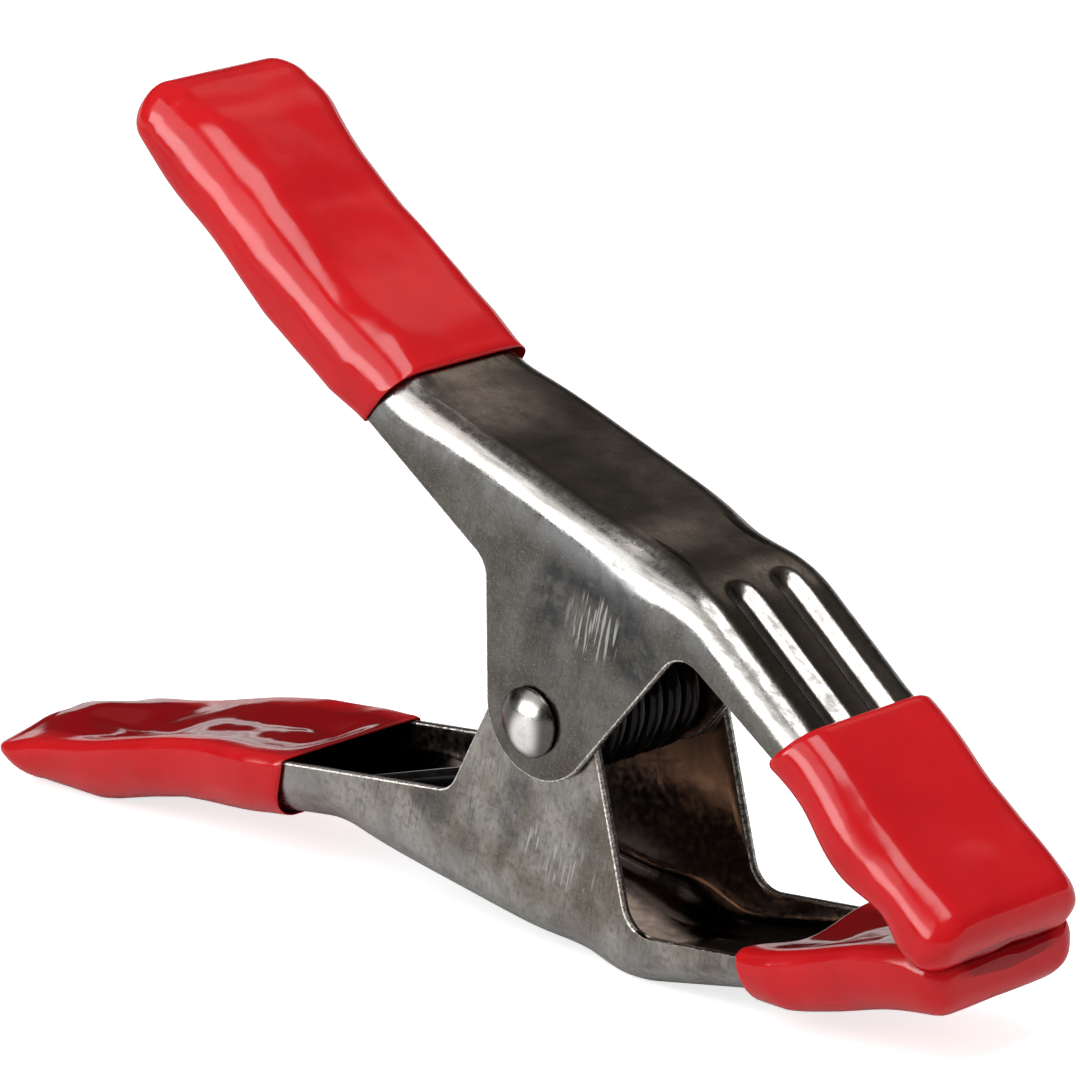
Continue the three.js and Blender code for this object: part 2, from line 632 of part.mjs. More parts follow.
function springGeometry() {
  const line = springLine();
  console.log(`least gap of the spring's wire to itself: ${leastGap(line).toFixed(2)} mm`);
  const rings = line.map((point, i) => {
    const before = line[Math.max(0, i - 1)];
    const after = line[Math.min(line.length - 1, i + 1)];
    const along = after.clone().sub(before).normalize();
    const sideways = new THREE.Vector3(0, 1, 0).addScaledVector(along, -along.y).normalize();
    const outward = along.clone().cross(sideways);
    const ring = [];
    for (let k = 0; k < WIRE_SIDES; k += 1) {
      const turn = (2 * Math.PI * k) / WIRE_SIDES;
      ring.push(point.clone()
        .addScaledVector(outward, (WIRE_DIAMETER / 2) * Math.cos(turn))
        .addScaledVector(sideways, (WIRE_DIAMETER / 2) * Math.sin(turn)));
    }
    return ring;
  });
  return loft(rings);
}

// ---------------------------------------------------------------------------------------------
// Materials
// ---------------------------------------------------------------------------------------------

const platedSteel = () => new THREE.MeshStandardMaterial({ color: 0x8c8883, roughness: 0.28, metalness: 1 });
const rivetSteel = () => new THREE.MeshStandardMaterial({ color: 0xb0aba4, roughness: 0.22, metalness: 1 });
const springSteel = () => new THREE.MeshStandardMaterial({ color: 0x101012, roughness: 0.3, metalness: 0.4 });
const redVinyl = () => new THREE.MeshStandardMaterial({ color: 0xc4161c, roughness: 0.25, metalness: 0 });

// ---------------------------------------------------------------------------------------------
// Assembly
// ---------------------------------------------------------------------------------------------

function named(name, geometry, material) {
  const mesh = new THREE.Mesh(geometry, material);
  mesh.name = name;
  return mesh;
}

// One arm with its two covers. The lower one is turned over about the X axis.
function armGroup(prefix, handle) {
  const group = new THREE.Group();
  group.add(named(`${prefix}_arm`, armGeometry(handle), platedSteel()));
  group.add(named(`${prefix}_handle_grip`, handleCoverGeometry(handle), redVinyl()));
  group.add(named(`${prefix}_jaw_tip`, jawCoverGeometry(handle), redVinyl()));
  return group;
}

function lowestPoint(object, tilt) {
  const turned = new THREE.Matrix4().makeRotationY(tilt);
  object.updateWorldMatrix(true, false);
  const point = new THREE.Vector3();
  let lowest = Infinity;
  const positions = object.geometry.attributes.position;
  for (let i = 0; i < positions.count; i += 1) {
    point.fromBufferAttribute(positions, i).applyMatrix4(object.matrixWorld).applyMatrix4(turned);
    lowest = Math.min(lowest, point.z);
  }
  return lowest;
}

// The tilt at which the lower grip and the bend of the lower web both stand on the bench.
function restingTilt(grip, arm) {
  let low = 0;
  let high = THREE.MathUtils.degToRad(MOST_TILT);
  for (let i = 0; i < TILT_HALVINGS; i += 1) {
    const middle = (low + high) / 2;
    if (lowestPoint(grip, middle) < lowestPoint(arm, middle)) {
      low = middle;
    } else {
      high = middle;
    }
  }
  return (low + high) / 2;
}

const upper = armGroup('upper', {
  reach: UPPER_HANDLE_REACH,
  setback: UPPER_END_SETBACK,
  tipBuild: UPPER_TIP_BUILD,
});
upper.position.y = -ARM_OFFSET;
const lower = armGroup('lower', {
  reach: LOWER_HANDLE_REACH,
  setback: LOWER_END_SETBACK,
  tipBuild: LOWER_TIP_BUILD,
});
lower.position.y = ARM_OFFSET;
lower.rotation.x = Math.PI;

const clamp = new THREE.Group();
clamp.add(lower, upper);
clamp.add(named('pivot_rivet', rivetGeometry(), rivetSteel()));
clamp.add(named('torsion_spring', springGeometry(), springSteel()));

const part = new THREE.Group();
part.add(clamp);
clamp.rotation.y = restingTilt(lower.children[1], lower.children[0]);
part.updateMatrixWorld(true);
const box = new THREE.Box3().setFromObject(part, true);
clamp.position.set(-(box.min.x + box.max.x) / 2, -(box.min.y + box.max.y) / 2, -box.min.z);
part.updateMatrixWorld(true);

export default part;
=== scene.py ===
import math

import bpy
import numpy as np
from mathutils import Matrix, Vector, noise


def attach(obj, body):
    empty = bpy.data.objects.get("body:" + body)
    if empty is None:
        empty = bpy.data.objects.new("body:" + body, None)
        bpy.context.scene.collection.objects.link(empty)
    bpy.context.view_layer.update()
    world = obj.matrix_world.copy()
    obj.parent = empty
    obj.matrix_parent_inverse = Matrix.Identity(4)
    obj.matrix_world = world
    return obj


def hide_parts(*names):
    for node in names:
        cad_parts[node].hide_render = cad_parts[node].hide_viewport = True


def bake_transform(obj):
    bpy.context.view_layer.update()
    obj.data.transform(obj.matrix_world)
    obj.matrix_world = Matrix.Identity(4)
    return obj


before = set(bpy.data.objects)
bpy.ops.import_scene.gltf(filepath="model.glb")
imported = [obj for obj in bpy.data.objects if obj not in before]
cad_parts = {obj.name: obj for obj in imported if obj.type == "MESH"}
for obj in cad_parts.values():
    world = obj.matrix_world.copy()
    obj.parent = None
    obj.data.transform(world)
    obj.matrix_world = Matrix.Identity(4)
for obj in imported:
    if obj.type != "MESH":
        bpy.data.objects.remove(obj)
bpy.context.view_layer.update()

# Shapes are drawn in millimetres in the clamp's own frame: X towards the jaws in the plane that the
# two arms mirror each other in, Y along the rivet, Z away from that plane. Both arms are drawn as
# the upper one. world_points() takes them to the part's frame, in metres.
TILT = math.radians(13.8762)
POSITION = (17.348, 0.25, 32.0318)

# The sheet, and the roundings between web and walls, which swell beside the bends (a place and a
# reach along X each) and are slightly larger on the bare stretch between the covers.
CHANNEL_WIDTH = 25.0
HALF_WIDTH = CHANNEL_WIDTH / 2
SHEET = 1.2
EDGE_ROUND = 0.26
WEB_CORNER_RADIUS = 3.7
LEAST_CORNER_RADIUS = 1.7
CORNER_SWELL = 2.0
JAW_SWELL = (12.3, 6.0)
HANDLE_SWELL = (-36.0, 9.0)
BARE_CORNER = 0.8
BARE_REAR = (-38.0, -28.0)
BARE_FRONT = (38.0, 46.0)

# The web in side view. Slopes are in degrees, reaches are measured from the rivet.
WEB_HEIGHT = 29.9
WEB_SLOPE = 4.7
JAW_BEND_REACH = 21.3
HANDLE_BEND_REACH = 32.0
BEND_RADIUS = 24.0
HANDLE_SLOPE = 19.8
FLARE_START_REACH = 61.0
FLARE_END_REACH = 75.0
FLARE_SLOPE = 28.0
TAIL_SLOPE = 10.0
FLARE_RADIUS = 14.0
PATH_OVERRUN = 12
HANDLE_REACH = {"upper": 82.5, "lower": 90.5}
HANDLE_END_SETBACK = {"upper": 2.5, "lower": 5.0}
HANDLE_SETBACK_SPAN = (55, 80)
JAW_REACH = 67.5
JAW_END_SETBACK = 0.6
JAW_SETBACK_SPAN = (50, 67)
JAW_END_HEIGHT = 6.5

# The lower edge of the walls, with the ears.
HANDLE_EDGE_HEIGHT = 12.2
HANDLE_EDGE_SLOPE = 20.3
HANDLE_EDGE_BEND_REACH = 56.0
HANDLE_TAPER_SLOPE = 26.5
HANDLE_EDGE_RADIUS = 30.0
JAW_EDGE_HEIGHT = 28.2
JAW_END_EDGE_HEIGHT = 3.9
EAR_REAR = 8.15
EAR_REAR_LEAN = 14.5
EAR_FRONT = 10.2
EAR_FRONT_LEAN = 27.8
EAR_DROP = 7.3
EAR_RADIUS = 9.0
REAR_NOTCH_RADIUS = 4.0
FRONT_NOTCH_RADIUS = 4.2
EDGE_STEP = 0.9

# Beads, rivet and spring.
BEAD_SPACING = 8.1
BEAD_WIDTH = 5.4
BEAD_DEPTH = 1.1
BEAD_START = 19.8
RIVET_HOLE_RADIUS = 3.3
RIVET_RADIUS = 3.0
HEAD_RADIUS = 4.6
HEAD_HEIGHT = 2.4
CLENCH_RADIUS = 4.3
CLENCH_HEIGHT = 1.9
DOME_RIM = 0.35
CLEAR = 0.3
ARM_OFFSET = (SHEET + CLEAR) / 2
WIRE_RADIUS = 1.35
COIL_RADIUS = 6.95
COIL_TURNS = 5
COIL_PITCH = 3.35
COIL_STEPS = 40
HOLE_SIDES = 72
RIVET_SIDES = 96
WIRE_SIDES = 20
LEG_LENGTH = 50.0
LEG_SET_IN = 3.5

# The dipped covers. A rounding on top stays clear of the steel's corner: CORNER_GIVE is the share
# of its radius that it gives away there, and CORNER_COVER what the steel's own corner gives.
COVER_LENGTH = {"handle": 46.0, "jaw": 28.7}
COVER_STATIONS = {"handle": 90, "jaw": 64}
POCKET_STATIONS = 10
RIM_STATIONS = 6
TIP_STATIONS = 14
TOP_RADIUS = {"handle": 8.0, "jaw": 5.6}
FOOT_RADIUS = {"handle": 1.8, "jaw": 2.2}
CORNER_COVER = 2.2
CORNER_GIVE = 0.586
RIM_LENGTH = 1.1
# How far a handle cover's mouth is moved towards the rivet, and how far its top is ahead of its
# foot. A jaw cover's mouth leans the other way.
HANDLE_MOUTH = {"upper": (0.0, 3.6), "lower": (3.2, 0.4)}
JAW_MOUTH_SETBACK = 2.6
TIP_BUILD = {("handle", "upper"): 4.8, ("handle", "lower"): 4.4, ("jaw", "upper"): 3.5, ("jaw", "lower"): 3.5}
TIP_LEAST = 1.6
# At the mouth a handle's coat has this share of its thickness, and grows over this share of its length.
LIP_SHARE = 0.55
LIP_SPAN = (0.0, 0.15)
# The thin film between the walls sags. At the lower handle's tip it bulges instead.
FILM_POINTS = 8
FILM_HALF_SHARE = 0.72
FILM_SAG = 1.6
FILM_SPAN = (0.0, 0.12)
FILM_RISE = {"upper": 0.0, "lower": 1.4}
FILM_RISE_SPAN = (0.72, 0.95)
# Over this stretch of X the foot of a jaw cover eases to its pad, which is then pressed flat.
JAW_PAD_EASE = (40.0, 66.0)
JAW_PAD_PRESSED = 0.4
# The coat on each face of a cover: usual thickness, height of its waves and where they start.
WAVE_LENGTH = {"handle": 27.8, "jaw": 26.5}
COAT = {
    ("handle", "upper"): {"foot": (0.85, 0.10, 0.60), "top": (1.00, 0.45, 0.17), "side": (0.80, 0.25, 0.35)},
    ("handle", "lower"): {"foot": (0.85, 0.26, 0.50), "top": (0.85, 0.20, 0.80), "side": (0.95, 0.26, 0.25)},
    ("jaw", "upper"): {"foot": (0.93, 0.29, 0.46), "top": (1.12, 0.29, 0.06), "side": (0.82, 0.16, 0.44)},
    ("jaw", "lower"): {"foot": (0.85, 0.12, 0.50), "top": (1.35, 0.29, 0.86), "side": (0.80, 0.10, 0.38)},
}
# Single swells and dents of a cover, in the arm's own frame: centre, size, height and, where it
# isn't straight out of the skin, direction.
DENTS = {
    ("handle", "upper"): [((-79.0, 12.0, 50.0), (7.0, 6.0, 6.0), 0.9),
                          ((-45.0, 12.0, 38.0), (16.0, 5.0, 8.0), 0.3),
                          ((-74.0, -13.0, 43.0), (9.0, 6.0, 6.0), 1.4),
                          ((-50.0, -13.0, 30.0), (18.0, 6.0, 5.0), 0.6)],
    ("handle", "lower"): [((-93.0, 1.0, 48.5), (10.0, 9.0, 5.0), 1.8, (0.0, 0.0, -1.0)),
                          ((-98.0, 12.5, 48.0), (7.0, 6.0, 4.0), 1.8, (0.0, 0.0, 1.0)),
                          ((-98.0, -12.5, 50.0), (7.0, 6.0, 6.0), 1.0, (0.0, 0.0, 1.0)),
                          ((-87.0, 4.0, 54.5), (8.0, 24.0, 4.0), 1.0, (0.0, 0.0, 1.0))],
    ("jaw", "upper"): [((60.0, 12.5, 10.0), (14.0, 6.0, 10.0), 0.4),
                       ((51.0, -13.5, 9.5), (5.0, 6.0, 6.0), 0.9),
                       ((59.0, -13.0, 1.5), (5.0, 6.0, 4.0), 1.8, (0.35, 0.5, 0.8))],
    ("jaw", "lower"): [((42.0, 12.5, 8.0), (5.0, 6.0, 8.0), 0.5),
                       ((46.0, 4.0, 18.0), (9.0, 16.0, 5.0), 0.8)],
}
# All over the skin: heights of its unevenness, each with its scale, and that of the film.
SEED = {("handle", "upper"): 1, ("handle", "lower"): 2, ("jaw", "upper"): 3, ("jaw", "lower"): 4}
SKIN_SWELLS = ((0.36, 0.07), (0.09, 0.2))
FILM_SWELL = 0.95
FILM_SWELL_SCALE = (0.13, 0.18)

# Marks on the steel, each a centre and a size: a dark cloud and a smudge on the walls, a painted pale
# reflection beside the bends of the web, two patches of scratches, and the rivet's crowns, painted bright as
# a highlight that also stands for rubbing.
CLOUD_SPOTS = (((-0.8, -12.5, 17.0), (5.5, 5.0, 11.0)), ((7.5, -12.5, 23.0), (11.0, 5.0, 6.0)),
               ((14.0, -12.5, 16.5), (8.0, 5.0, 7.0)))
SMUDGE_SPOTS = (((-1.3, 12.5, 13.0), (4.0, 5.0, 12.0)), ((-15.3, 12.5, 19.7), (6.0, 5.0, 5.0)))
BEND_REFLECTION_REAR = ((-25.0, -4.0, 31.5), (11.0, 13.0, 8.0))
BEND_REFLECTION_FRONT = ((8.5, -3.0, 28.5), (6.0, 11.0, 5.0))
SCRATCH_SPOTS = (((7.0, -12.5, 17.0), (6.5, 4.0, 6.0)), ((7.5, 12.5, 16.5), (9.5, 4.0, 5.0)))
CROWN_HIGHLIGHT_SPOTS = (((0.9, -15.2, -0.8), (3.4, 4.0, 5.6)), ((0.0, 15.2, 0.0), (3.0, 3.0, 3.0)))

# The floor, and the room in reflections: white up to HORIZON, dark above it, a little paler from
# CEILING on, with one faint glow. Heights are the upward part of a ray's direction.
FLOOR_SIZE = 4.0
FLOOR_GREY = (0.86, 0.86, 0.86, 1.0)
FLOOR_MIRRORED = (0.6, 0.6, 0.6, 1.0)
FLOOR_LIFT = 0.75
FLOOR_LIFT_MIRRORED = 0.1
WHITE = (1.0, 1.0, 1.0, 1.0)
HORIZON = (0.07, 0.11)
ROOM_DARK = (0.03, 0.027, 0.024, 1.0)
CEILING = (0.4, 0.55)
CEILING_TONE = (0.15, 0.13, 0.115, 1.0)
GLOW_DIRECTION = (-0.12, 0.69, 0.71)
GLOW_SPREAD = (13, 3)
GLOW_TONE = (0.75, 0.66, 0.58, 1.0)
ROOM_LIGHT = 0.45

# Lamps: name, direction, distance, size, power, and whether diffuse colours and reflections see it.
LAMP_TARGET = (0.0, 0.0, 0.045)
LAMPS = (
    ("key", (-0.24, -0.72, 0.65), 1.0, (0.85, 0.72), 5.2, True, False),
    ("softbox", (-0.25, -0.85, 0.41), 1.0, (0.90, 0.38), 8.4, False, True),
    ("softbox_halo", (-0.20, -0.74, 0.62), 1.05, (1.10, 0.95), 8.0, False, True),
    ("top", (0.30, -0.10, 0.95), 1.0, (0.50, 0.42), 4.5, True, True),
)

# The camera: lens in millimetres, place in metres, and the directions of its own axes.
CAMERA_LENS = 250.0
CAMERA_PLACE = (0.64410228, -0.65583821, 0.32926162)
CAMERA_AXES = ((0.71683514, 0.69724265, 0.00026387),
               (-0.20322172, 0.20857019, 0.95666055),
               (0.6669695, -0.68582152, 0.29120529))


def tangent(degrees):
    return math.tan(math.radians(degrees))


def smooth_share(x, low, high):
    share = min(1.0, max(0.0, (x - low) / (high - low)))
    return share * share * (3 - 2 * share)


# ---------------------------------------------------------------- side-view lines

def rounded_path(corners, step=2.0):
    """Points of an open path whose inner corners (x, z, radius) are rounded."""
    places = [np.array(corner[:2], float) for corner in corners]
    points = [places[0]]
    for i in range(1, len(corners) - 1):
        here = places[i]
        radius = corners[i][2]
        back = places[i - 1] - here
        ahead = places[i + 1] - here
        back /= np.linalg.norm(back)
        ahead /= np.linalg.norm(ahead)
        opening = math.acos(float(back @ ahead))
        reach = radius / math.tan(opening / 2)
        middle = back + ahead
        centre = here + middle / np.linalg.norm(middle) * radius / math.sin(opening / 2)
        start = here + back * reach - centre
        end = here + ahead * reach - centre
        sweep = math.atan2(start[0] * end[1] - start[1] * end[0], float(start @ end))
        steps = max(3, math.ceil(abs(math.degrees(sweep)) / step))
        for k in range(steps + 1):
            a = sweep * k / steps
            turned = np.array([start[0] * math.cos(a) - start[1] * math.sin(a),
                               start[0] * math.sin(a) + start[1] * math.cos(a)])
            points.append(centre + turned)
    points.append(places[-1])
    return np.array(points)


def divided(path, longest):
    """The path with extra points, so that no stretch is longer than longest."""
    points = [path[0]]
    for a, b in zip(path[:-1], path[1:]):
        steps = max(1, math.ceil(np.linalg.norm(b - a) / longest))
        for k in range(1, steps + 1):
            points.append(a + (b - a) * k / steps)
    return np.array(points)


def height_at(path, x):
    x = np.asarray(x, float)
    inside = np.interp(x, path[:, 0], path[:, 1])
    first = (path[1, 1] - path[0, 1]) / (path[1, 0] - path[0, 0])
    last = (path[-1, 1] - path[-2, 1]) / (path[-1, 0] - path[-2, 0])
    inside = np.where(x < path[0, 0], path[0, 1] + first * (x - path[0, 0]), inside)
    return np.where(x > path[-1, 0], path[-1, 1] + last * (x - path[-1, 0]), inside)


def web_line(x):
    return WEB_HEIGHT - tangent(WEB_SLOPE) * x


def jaw_edge_line(x):
    return JAW_EDGE_HEIGHT - (JAW_EDGE_HEIGHT - JAW_END_EDGE_HEIGHT) / JAW_REACH * x


def handle_edge_line(x):
    return HANDLE_EDGE_HEIGHT - tangent(HANDLE_EDGE_SLOPE) * x


def web_path(reach):
    bend = web_line(-HANDLE_BEND_REACH)
    flare = bend + (FLARE_START_REACH - HANDLE_BEND_REACH) * tangent(HANDLE_SLOPE)
    tail = flare + (FLARE_END_REACH - FLARE_START_REACH) * tangent(FLARE_SLOPE)
    jaw = web_line(JAW_BEND_REACH)
    fall = (jaw - JAW_END_HEIGHT) / (JAW_REACH - JAW_BEND_REACH)
    rear, front = reach + PATH_OVERRUN, JAW_REACH + PATH_OVERRUN
    return rounded_path([
        (-rear, tail + (rear - FLARE_END_REACH) * tangent(TAIL_SLOPE)),
        (-FLARE_END_REACH, tail, FLARE_RADIUS),
        (-FLARE_START_REACH, flare, FLARE_RADIUS),
        (-HANDLE_BEND_REACH, bend, BEND_RADIUS),
        (JAW_BEND_REACH, jaw, BEND_RADIUS),
        (front, jaw - (front - JAW_BEND_REACH) * fall)])


def handle_edge_path(reach):
    bend = handle_edge_line(-HANDLE_EDGE_BEND_REACH)
    rear = reach + PATH_OVERRUN
    return rounded_path([
        (-rear, bend + (rear - HANDLE_EDGE_BEND_REACH) * tangent(HANDLE_TAPER_SLOPE)),
        (-HANDLE_EDGE_BEND_REACH, bend, HANDLE_EDGE_RADIUS),
        (0, handle_edge_line(0))])


def ear_corner(height, slope, foot, lean):
    """Where an ear's leaning edge meets the sloping edge of the handle or the jaw."""
    z = (height - slope * foot) / (1 + slope * lean)
    return foot + lean * z, z


def edge_outline(reach):
    """The lower edge of the side wall from the handle's end, round the ear, to the jaw's end."""
    edge = handle_edge_path(reach)
    rear = -tangent(EAR_REAR_LEAN)
    front = tangent(EAR_FRONT_LEAN)
    fall = (JAW_EDGE_HEIGHT - JAW_END_EDGE_HEIGHT) / JAW_REACH
    return divided(rounded_path([
        (-reach, float(height_at(edge, -reach))),
        (-HANDLE_EDGE_BEND_REACH, handle_edge_line(-HANDLE_EDGE_BEND_REACH), HANDLE_EDGE_RADIUS),
        (*ear_corner(HANDLE_EDGE_HEIGHT, tangent(HANDLE_EDGE_SLOPE), -EAR_REAR, rear), REAR_NOTCH_RADIUS),
        (-EAR_REAR - EAR_DROP * rear, -EAR_DROP, EAR_RADIUS),
        (EAR_FRONT - EAR_DROP * front, -EAR_DROP, EAR_RADIUS),
        (*ear_corner(JAW_EDGE_HEIGHT, fall, EAR_FRONT, front), FRONT_NOTCH_RADIUS),
        (JAW_REACH, jaw_edge_line(JAW_REACH))], step=5.0), EDGE_STEP)


# ---------------------------------------------------------------- pieces

def add_object(name, data):
    made = bpy.data.objects.new(name, data)
    bpy.context.scene.collection.objects.link(made)
    return made


def write_places(mesh, local):
    place = mesh.attributes.new("place", "FLOAT_VECTOR", "POINT")
    place.data.foreach_set("vector", local.astype(np.float32).ravel())


def world_points(points):
    """Clamp frame, in millimetres, to the part's frame, in metres."""
    p = np.asarray(points, float)
    c, s = math.cos(TILT), math.sin(TILT)
    x = p[:, 0] * c + p[:, 2] * s + POSITION[0]
    z = -p[:, 0] * s + p[:, 2] * c + POSITION[2]
    return np.stack([x, p[:, 1] + POSITION[1], z], axis=1) / 1000


def arm_points(points, side):
    """An arm's own frame to the clamp frame: the lower arm is the upper one turned over."""
    p = np.asarray(points, float).copy()
    if side == "lower":
        p[:, 1:] *= -1
        p[:, 1] += ARM_OFFSET
    else:
        p[:, 1] -= ARM_OFFSET
    return p


def outward(points, faces):
    """True where the closed skin's faces look out."""
    volume = 0.0
    for face in faces:
        a = points[face[0]]
        for k in range(1, len(face) - 1):
            volume += float(np.dot(a, np.cross(points[face[k]], points[face[k + 1]])))
    return volume > 0


def make_piece(name, local, placed, faces, sharp=40.0):
    """A mesh object from points in the clamp frame, that keeps their local places for materials."""
    placed = np.asarray(placed, float)
    if not outward(placed, faces):
        faces = [tuple(reversed(face)) for face in faces]
    mesh = bpy.data.meshes.new(name)
    mesh.from_pydata(world_points(placed).tolist(), [], faces)
    write_places(mesh, np.asarray(local, float))
    mesh.validate()
    mesh.update()
    mesh.shade_smooth()
    mesh.set_sharp_from_angle(angle=math.radians(sharp))
    return add_object(name, mesh)


def circle(radius, y, sides):
    """Points of a circle around the rivet's axis."""
    turns = [2 * math.pi * k / sides for k in range(sides)]
    return [(radius * math.cos(a), y, radius * math.sin(a)) for a in turns]


def loft(rings):
    """Points and faces of a closed skin over rings of the same number of points."""
    count = len(rings[0])
    points = np.concatenate([np.asarray(ring, float) for ring in rings])
    faces = []
    for r in range(len(rings) - 1):
        for k in range(count):
            a = r * count + k
            b = r * count + (k + 1) % count
            faces.append((a, b, b + count, a + count))
    faces.append(tuple(reversed(range(count))))
    faces.append(tuple(range((len(rings) - 1) * count, len(rings) * count)))
    return points, faces


def corner_radius(x):
    """The outer radius between web and wall, softer beside the bends."""
    swell = sum(math.exp(-((x - place) / length) ** 2) for place, length in (JAW_SWELL, HANDLE_SWELL))
    bare = smooth_share(x, *BARE_REAR) * (1 - smooth_share(x, *BARE_FRONT))
    return WEB_CORNER_RADIUS + CORNER_SWELL * swell + BARE_CORNER * bare


def bead_depth(x, y):
    """How deep the two round-ended beads are pressed into the web."""
    half = BEAD_WIDTH / 2
    behind = max(0.0, BEAD_START + half - x)
    aside = abs(abs(y) - BEAD_SPACING / 2)
    share = math.hypot(behind, aside) / half
    return BEAD_DEPTH * math.cos(math.pi / 2 * share) ** 2 if share < 1 else 0.0


def web_places():
    """Where the web's points lie across it: close together on the beads."""
    half = BEAD_WIDTH / 2
    places = [0.0]
    for k in range(-8, 9):
        aside = half * k / 8
        places += [BEAD_SPACING / 2 + aside, -BEAD_SPACING / 2 + aside]
    return sorted(places)


WEB_PLACES = web_places()
CORNER_STEPS = 9
WALL_ROWS = 4
EDGE_TURN = [0.0, math.radians(45), math.radians(90)]


def mirrored(line):
    """The line on the other side of Y = 0, in the opposite order."""
    return [(x, -y, z) for x, y, z in reversed(line)]


def arm_ring(web, x, z, normal, side):
    """One section of an arm over the edge point (x, z): out over the near edge, up the near wall,
    across the web, down the far wall, round its edge, and back along the inside."""
    setback = (HANDLE_END_SETBACK[side] * smooth_share(-x, *HANDLE_SETBACK_SPAN)
               + JAW_END_SETBACK * smooth_share(x, *JAW_SETBACK_SPAN))
    top_x = x + setback
    height = float(height_at(web, top_x))
    slope = math.atan2(float(height_at(web, top_x + 0.5) - height_at(web, top_x - 0.5)), 1.0)
    stretch = 1 / math.cos(slope)
    swelled = min(corner_radius(top_x), max(LEAST_CORNER_RADIUS, (height - z) / stretch - CLEAR))

    def at(y, level):
        share = (level - z) / max(height - z, 1e-6)
        return (x + setback * share, y, level)

    def edge(y_face, inward):
        """The rounded half edge that ends on the face at y_face; inward points into the sheet."""
        out = []
        for turn in EDGE_TURN:
            drop = EDGE_ROUND * (1 - math.cos(turn))
            aside = EDGE_ROUND * (1 - math.sin(turn))
            out.append((x + normal[0] * drop, y_face + inward * aside, z + normal[1] * drop))
        return out

    def face(inset):
        radius = swelled - inset
        wall = HALF_WIDTH - inset
        foot = (x + normal[0] * EDGE_ROUND, z + normal[1] * EDGE_ROUND)
        start_level = height - stretch * (inset + radius)
        start = at(0, start_level)
        line = []
        for k in range(1, WALL_ROWS):
            share = k / WALL_ROWS
            line.append((foot[0] + (start[0] - foot[0]) * share, -wall,
                         foot[1] + (start_level - foot[1]) * share))
        for k in range(CORNER_STEPS + 1):
            a = math.pi / 2 * k / CORNER_STEPS
            line.append(at(-(wall - radius + radius * math.cos(a)),
                           height - stretch * (inset + radius * (1 - math.sin(a)))))
        for y in WEB_PLACES:
            line.append(at(y, height - stretch * (inset + bead_depth(top_x, y))))
        return line + mirrored(line[:CORNER_STEPS + WALL_ROWS])

    near_out = edge(-HALF_WIDTH, 1)
    near_in = edge(SHEET - HALF_WIDTH, -1)[::-1]
    return near_out + face(0.0) + mirrored(near_out) + mirrored(near_in) + face(SHEET)[::-1] + near_in


def cut_hole(piece, side):
    """Cuts the rivet's hole through both ears."""
    points, faces = loft([circle(RIVET_HOLE_RADIUS, y, HOLE_SIDES)
                          for y in (-HALF_WIDTH - 4, HALF_WIDTH + 4)])
    drill = make_piece(f"{side}_drill", points, arm_points(points, side), faces)
    cut = piece.modifiers.new("hole", "BOOLEAN")
    cut.operation = "DIFFERENCE"
    cut.solver = "EXACT"
    cut.object = drill
    graph = bpy.context.evaluated_depsgraph_get()
    mesh = bpy.data.meshes.new_from_object(piece.evaluated_get(graph))
    piece.modifiers.clear()
    old = piece.data
    piece.data = mesh
    keep_places(mesh, side)
    bpy.data.meshes.remove(old)
    bpy.data.objects.remove(drill)


def keep_places(mesh, side):
    """Writes each point's own-frame place again after a cut."""
    p = np.empty(len(mesh.vertices) * 3)
    mesh.vertices.foreach_get("co", p)
    p = p.reshape(-1, 3) * 1000 - np.array(POSITION)
    c, s = math.cos(TILT), math.sin(TILT)
    own = np.stack([p[:, 0] * c - p[:, 2] * s, p[:, 1], p[:, 0] * s + p[:, 2] * c], axis=1)
    if side == "lower":
        own[:, 1] -= ARM_OFFSET
        own[:, 1:] *= -1
    else:
        own[:, 1] += ARM_OFFSET
    old = mesh.attributes.get("place")
    if old:
        mesh.attributes.remove(old)
    write_places(mesh, own)


def arm_piece(side, paints):
    reach = HANDLE_REACH[side]
    web = web_path(reach)
    outline = edge_outline(reach)
    rings = []
    for i, (x, z) in enumerate(outline):
        before = outline[max(0, i - 1)]
        after = outline[min(len(outline) - 1, i + 1)]
        along = (after - before) / np.linalg.norm(after - before)
        rings.append(arm_ring(web, x, z, (-along[1], along[0]), side))
    points, faces = loft(rings)
    piece = make_piece(f"{side}_arm_pressing", points, arm_points(points, side), faces, sharp=30.0)
    cut_hole(piece, side)
    piece.data.materials.clear()
    for paint in paints:
        piece.data.materials.append(paint)
    mark_faces(piece, side)
    piece.data.shade_smooth()
    piece.data.set_sharp_from_angle(angle=math.radians(30))
    return piece


WEB_FOR_MARKS = web_path(HANDLE_REACH["lower"])
CORNER_DROP = 8.0
SLACK = 0.02


def wall_top(x):
    """Below this level a wall is flat, whatever the corner above it does."""
    return float(height_at(WEB_FOR_MARKS, x)) - CORNER_DROP


def mark_faces(piece, side):
    """Gives the sheared edge the second material slot, and the channel's inside the third."""
    mesh = piece.data
    place = np.empty(len(mesh.vertices) * 3, np.float32)
    mesh.attributes["place"].data.foreach_get("vector", place)
    place = place.reshape(-1, 3)
    turned = -1 if side == "lower" else 1
    for polygon in mesh.polygons:
        corners = place[list(polygon.vertices)]
        ys = np.abs(corners[:, 1])
        flat_y = abs(polygon.normal.y) > 0.95
        inside = ys.max() < HALF_WIDTH - SHEET + SLACK
        if inside and (flat_y or polygon.normal.z * turned < -0.05):
            polygon.material_index = 2
        elif not flat_y and ys.max() - ys.min() > SLACK and corners[:, 2].min() < wall_top(corners[0, 0]):
            polygon.material_index = 1


# ---------------------------------------------------------------- vinyl covers

